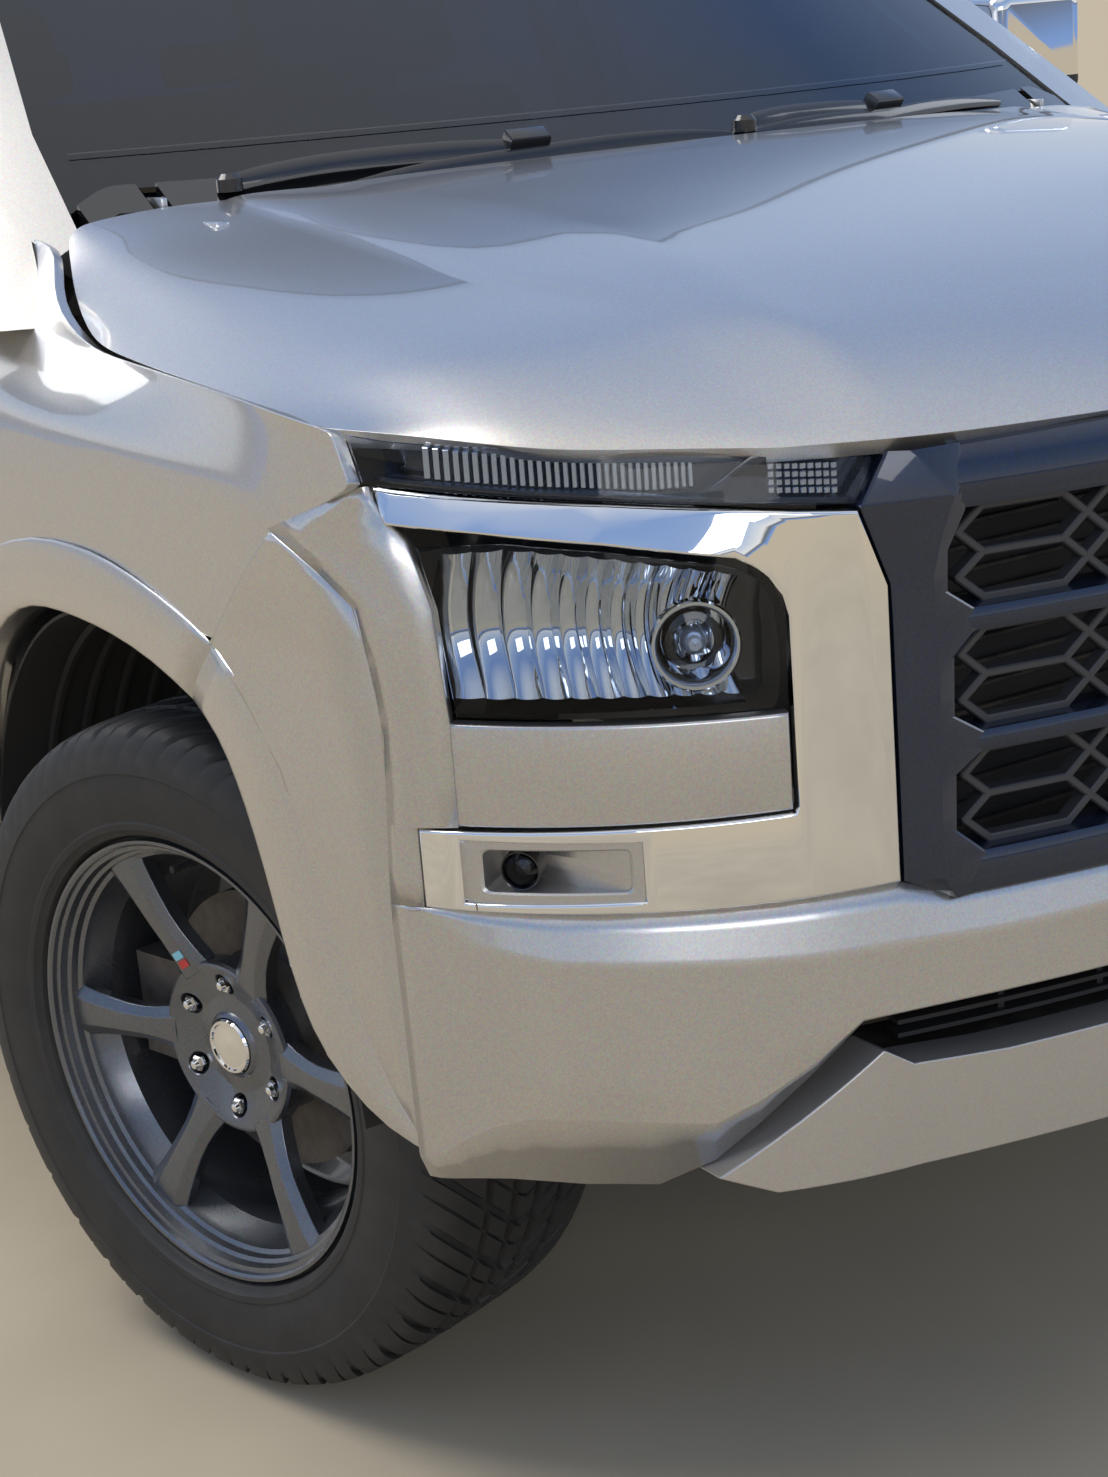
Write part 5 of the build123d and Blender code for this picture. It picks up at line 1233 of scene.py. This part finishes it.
def wiper_beam(route, half, low, high, taper=0.6):
    """A ridged beam along a route over the screen, slimmer at its ends."""
    rows = []
    for i in range(17):
        share = i / 16
        spot = along([(k / (len(route) - 1), Vector(point)) for k, point in enumerate(route)], share)
        slim = 1 - taper * abs(2 * share - 1) ** 4
        rows.append([over_screen(spot.x, spot.y + across * half * slim, low + rise * (high - low) * slim)
                     for across, rise in ((-1, 0), (-0.9, 0.5), (-0.25, 1), (0.25, 1), (0.9, 0.45), (1, 0))])
    return filled(skin(rows, closed=True))


def wiper_box(x, y, half_x, half_y, low, high, turn_by):
    """A raised housing on an arm."""
    form = bmesh.new()
    at = Vector(over_screen(x, y, (low + high) / 2))
    block(form, at, (2 * half_x, 2 * half_y, high - low),
          Matrix.Rotation(turn_by, 4, "Z") @ Matrix.Rotation(math.atan(SCREEN_SLOPE), 4, "X"))
    break_edges(form, [edge for edge in form.edges if min(v.co.z for v in edge.verts) > at.z - 2], 4, 2)
    return form


def wiper(pivot, joint, blade):
    """An arm from its capped pivot to the joint on its blade."""
    (px, py), (jx, jy) = pivot, joint
    lean = math.atan2(blade[-1][1] - blade[0][1], blade[-1][0] - blade[0][0])
    cap = bmesh.new()
    stack(cap, Matrix.Translation(over_screen(px, py, 0)), ((2, 16, 15, 15, 24), (16, 22, 15, 10, 24)))
    return gather([wiper_beam(blade, 6, 3, 15), wiper_beam(blade, 2.4, 0.8, 6, 0.2),
                   wiper_beam([pivot, (blend(px, jx, 0.3), blend(py, jy, 0.3) + 3), joint], 9, 12, 22, 0.35),
                   wiper_box(jx, jy, 26, 11, 11, 30, lean), cap])


piece(wiper((-584, 285), (-235, 211), [(-478, 232), (-235, 204), (46, 190)]), "wiper_right", smoked_frame,
      stands_for=("wipers",), smooth=34)
piece(wiper((70, 196), (314, 222), [(64, 186), (314, 214), (569, 282)]), "wiper_left", smoked_frame, smooth=34)


# Door mirrors: a chrome cap over a black foot and back, and the glass
def mirror_shell(name):
    form = copy_of(name)
    cap_foot, back = 1.235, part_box(name)[1][1]
    cut(form, (0, 0, cap_foot), (0, 0, 1), dist=1e-6)
    cut(form, (0, back - 0.034, 0), (0, 1, 0), dist=1e-6)
    for face in form.faces:
        middle = face.calc_center_median()
        if face.normal.y > 0.9 and middle.y > back - 0.012 and face.calc_area() > 0.004:
            face.material_index = 2
        elif middle.z < cap_foot or middle.y > back - 0.034:
            face.material_index = 1
    in_place(form, name, (chrome, black_plastic, mirror_face), smooth=28, bevel=0.002)


for side, sign in SIDES:
    mirror_shell(f"mirror_{side}")

# Seats: crowned, stitched pads on dark plinths
def pad(half, crown, channels, place):
    """A crowned closed pad whose sides pull in between its corners, with sewn channels across its top."""
    form = bmesh.new()
    bmesh.ops.create_cube(form, size=2)
    bmesh.ops.subdivide_edges(form, edges=form.edges[:], cuts=23, use_grid_fill=True)
    for vertex in form.verts:
        u, v, w = vertex.co
        size = (abs(u) ** 7 + abs(v) ** 7 + abs(w) ** 7) ** (1 / 7)
        u, v, w = u / size, v / size, w / size
        pull = 1 - 0.035 * (1 - v * v), 1 - 0.035 * (1 - u * u)
        rise = 0.0
        if w > 0:
            rise = crown * (1 - u ** 4) * (1 - v ** 4) - 5 * math.exp(-((abs(u) - 0.7) / 0.03) ** 2)
            rise -= sum(7 * math.exp(-((u - line) / 0.035) ** 2) * (1 - v ** 6) for line in channels)
        vertex.co = (u * half[0] * pull[0], v * half[1] * pull[1], w * (half[2] - crown) + rise)
    form.transform(place)
    return form


def seat_pad(name, half, crown, channels, x, y, z, lean, stands_for=()):
    place = Matrix.Translation((x, y, z)) @ Matrix.Rotation(math.radians(lean), 4, "X")
    made = piece(pad(half, crown, channels, place), name, seat_cloth, stands_for=stands_for, smooth=60)


def plinth(x0, x1, y0, y1, name):
    piece(bars([(x0, x1, y0, y1, 584, 722)], 18, 3), name, black_plastic)


SEAT_X, SEAT_CHANNELS, BENCH_CHANNELS = 370, (-0.4, 0, 0.4), (-0.6, -0.28, 0, 0.28, 0.6)
for side, sign in SIDES:
    x = SEAT_X * sign
    seat_pad(f"seat_cushion_{side}", (246, 246, 92), 20, SEAT_CHANNELS, x, 1250, 812, 2, ("front_seats",))
    seat_pad(f"seat_back_{side}", (236, 205, 48), 14, SEAT_CHANNELS, x, 1520, 1086, 71.5)
    seat_pad(f"seat_headrest_{side}", (125, 72, 40), 12, (), x, 1617, 1378, 71.5)
    plinth(x - 240, x + 240, 1012, 1488, f"seat_plinth_{side}")
seat_pad("bench_cushion", (634, 220, 90), 20, BENCH_CHANNELS, 0, 2125, 812, 2, ("rear_bench",))
seat_pad("bench_back", (634, 195, 45), 12, BENCH_CHANNELS, 0, 2386, 1102, 76.3)
for number, x in enumerate((-420, 0, 420)):
    seat_pad(f"bench_headrest_{number}", (110, 42, 32), 9, (), x, 2449, 1342, 76.3)
plinth(-628, 628, 1912, 2340, "bench_plinth")


# Arch liner: ribs along the arch
def liner_ribs():
    forms = []
    for x in range(600, 841, 40):
        rib = turned([(-x - 5, 455), (-x - 3, 448), (-x + 3, 448), (-x + 5, 455)], 40, closed=True,
                     angle=math.radians(128))
        rib.transform(Matrix.Translation((0, 0, 385)) @ Matrix.Rotation(math.radians(26), 4, "X"))
        bmesh.ops.holes_fill(rib, edges=rib.edges, sides=0)
        forms.append(rib)
    return gather(forms)


both(liner_ribs, "liner_ribs", black_plastic, smooth=40)


# Load bed ribs, tailgate handle and step pads
def edges_of(name):
    """A CAD node's front, rear and top, in truck millimetres."""
    low, high = (Vector(corner) * 1000 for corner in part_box(name))
    return low.y - FRONT_AXLE, high.y - FRONT_AXLE, high.z


piece(bars([(x - 17, x + 17, 2745, 4280, 648, 656) for x in range(-504, 505, 72)], 3), "bed_ribs", silver_paint)
front, back, top = edges_of("tailgate")
piece(bars([(-92, 92, back - 3, back + 1.5, top - 150, top - 78)], 2), "gate_recess", black_plastic, "tailgate")
piece(bars([(-74, 74, back - 2, back + 8, top - 112, top - 88)], 3), "gate_handle", chrome, "tailgate")
front, back, top = edges_of("rear_bumper")
piece(bars([(x, x + 14, back - 70, back - 12, top - 2, top + 1.5)
            for centre in (-560, 0, 560) for x in range(centre - 150, centre + 150, 24)], 1), "step_pads",
      black_plastic)

# Under the hood: its arms and stiffeners, and the engine's cover
piece(gather([bars([(x - 4, x + 4, 296, 341, 1204, 1225) for x in (-660, 660)], 2),
              bars([(x - 9, x + 9, 150, 300, 1178, 1203) for x in (-660, 660)], 4)]), "hood_arms", silver_paint, "hood")
rounded("engine", 0.02, 3)
front, back, top = edges_of("engine")
piece(gather([bars([(-170, 170, front + 60, back - 90, top - 4, top + 9)], 5),
              bars([(x - 6, x + 6, front + 90, back - 120, top + 6, top + 14) for x in range(-120, 121, 40)], 2)]),
      "engine_cover", gloss_black)

# CAD nodes with their edges broken
for name, width in (("skid_plate", 0.004), ("load_bed", 0.004), ("cab_shell", 0.004), ("tailgate", 0.005),
                    ("rear_bumper", 0.006), ("tail_lamps", 0.003)):
    rounded(name, width)
rounded("dashboard", 0.008, 3)
rounded("steering_wheel", 0.002)
for side, sign in SIDES:
    for end in ("front", "rear"):
        rounded(f"{end}_door_{side}", 0.003)


# Floor, which fades to a plain pale backdrop in the distance
floor_mesh = bmesh.new()
bmesh.ops.create_grid(floor_mesh, x_segments=1, y_segments=1, size=60)
floor_data = bpy.data.meshes.new("floor")
floor_mesh.to_mesh(floor_data)
floor_mesh.free()
floor = bpy.data.objects.new("floor", floor_data)
bpy.context.scene.collection.objects.link(floor)
floor.location.z = -0.001
pale_floor = finish_of("pale_floor", (0.47, 0.40, 0.29), rough=0.9, vary=0.09, vary_scale=2.2)
ground = pale_floor.node_tree
away = add(ground, "VectorMath", {0: add(ground, "TexCoord").outputs["Object"]}, operation="LENGTH")
fade = add(ground, "MapRange", {"Value": away.outputs["Value"], "From Min": 3.5, "From Max": 9.0},
           interpolation_type="SMOOTHSTEP")
glow = add(ground, "Emission", {"Color": BACKDROP})
mixed = add(ground, "MixShader", {0: fade.outputs[0], 1: ground.nodes["Principled BSDF"].outputs[0],
                                  2: glow.outputs[0]})
feed(ground, ground.nodes["Material Output"], {0: mixed.outputs[0]})
floor_data.materials.append(pale_floor)
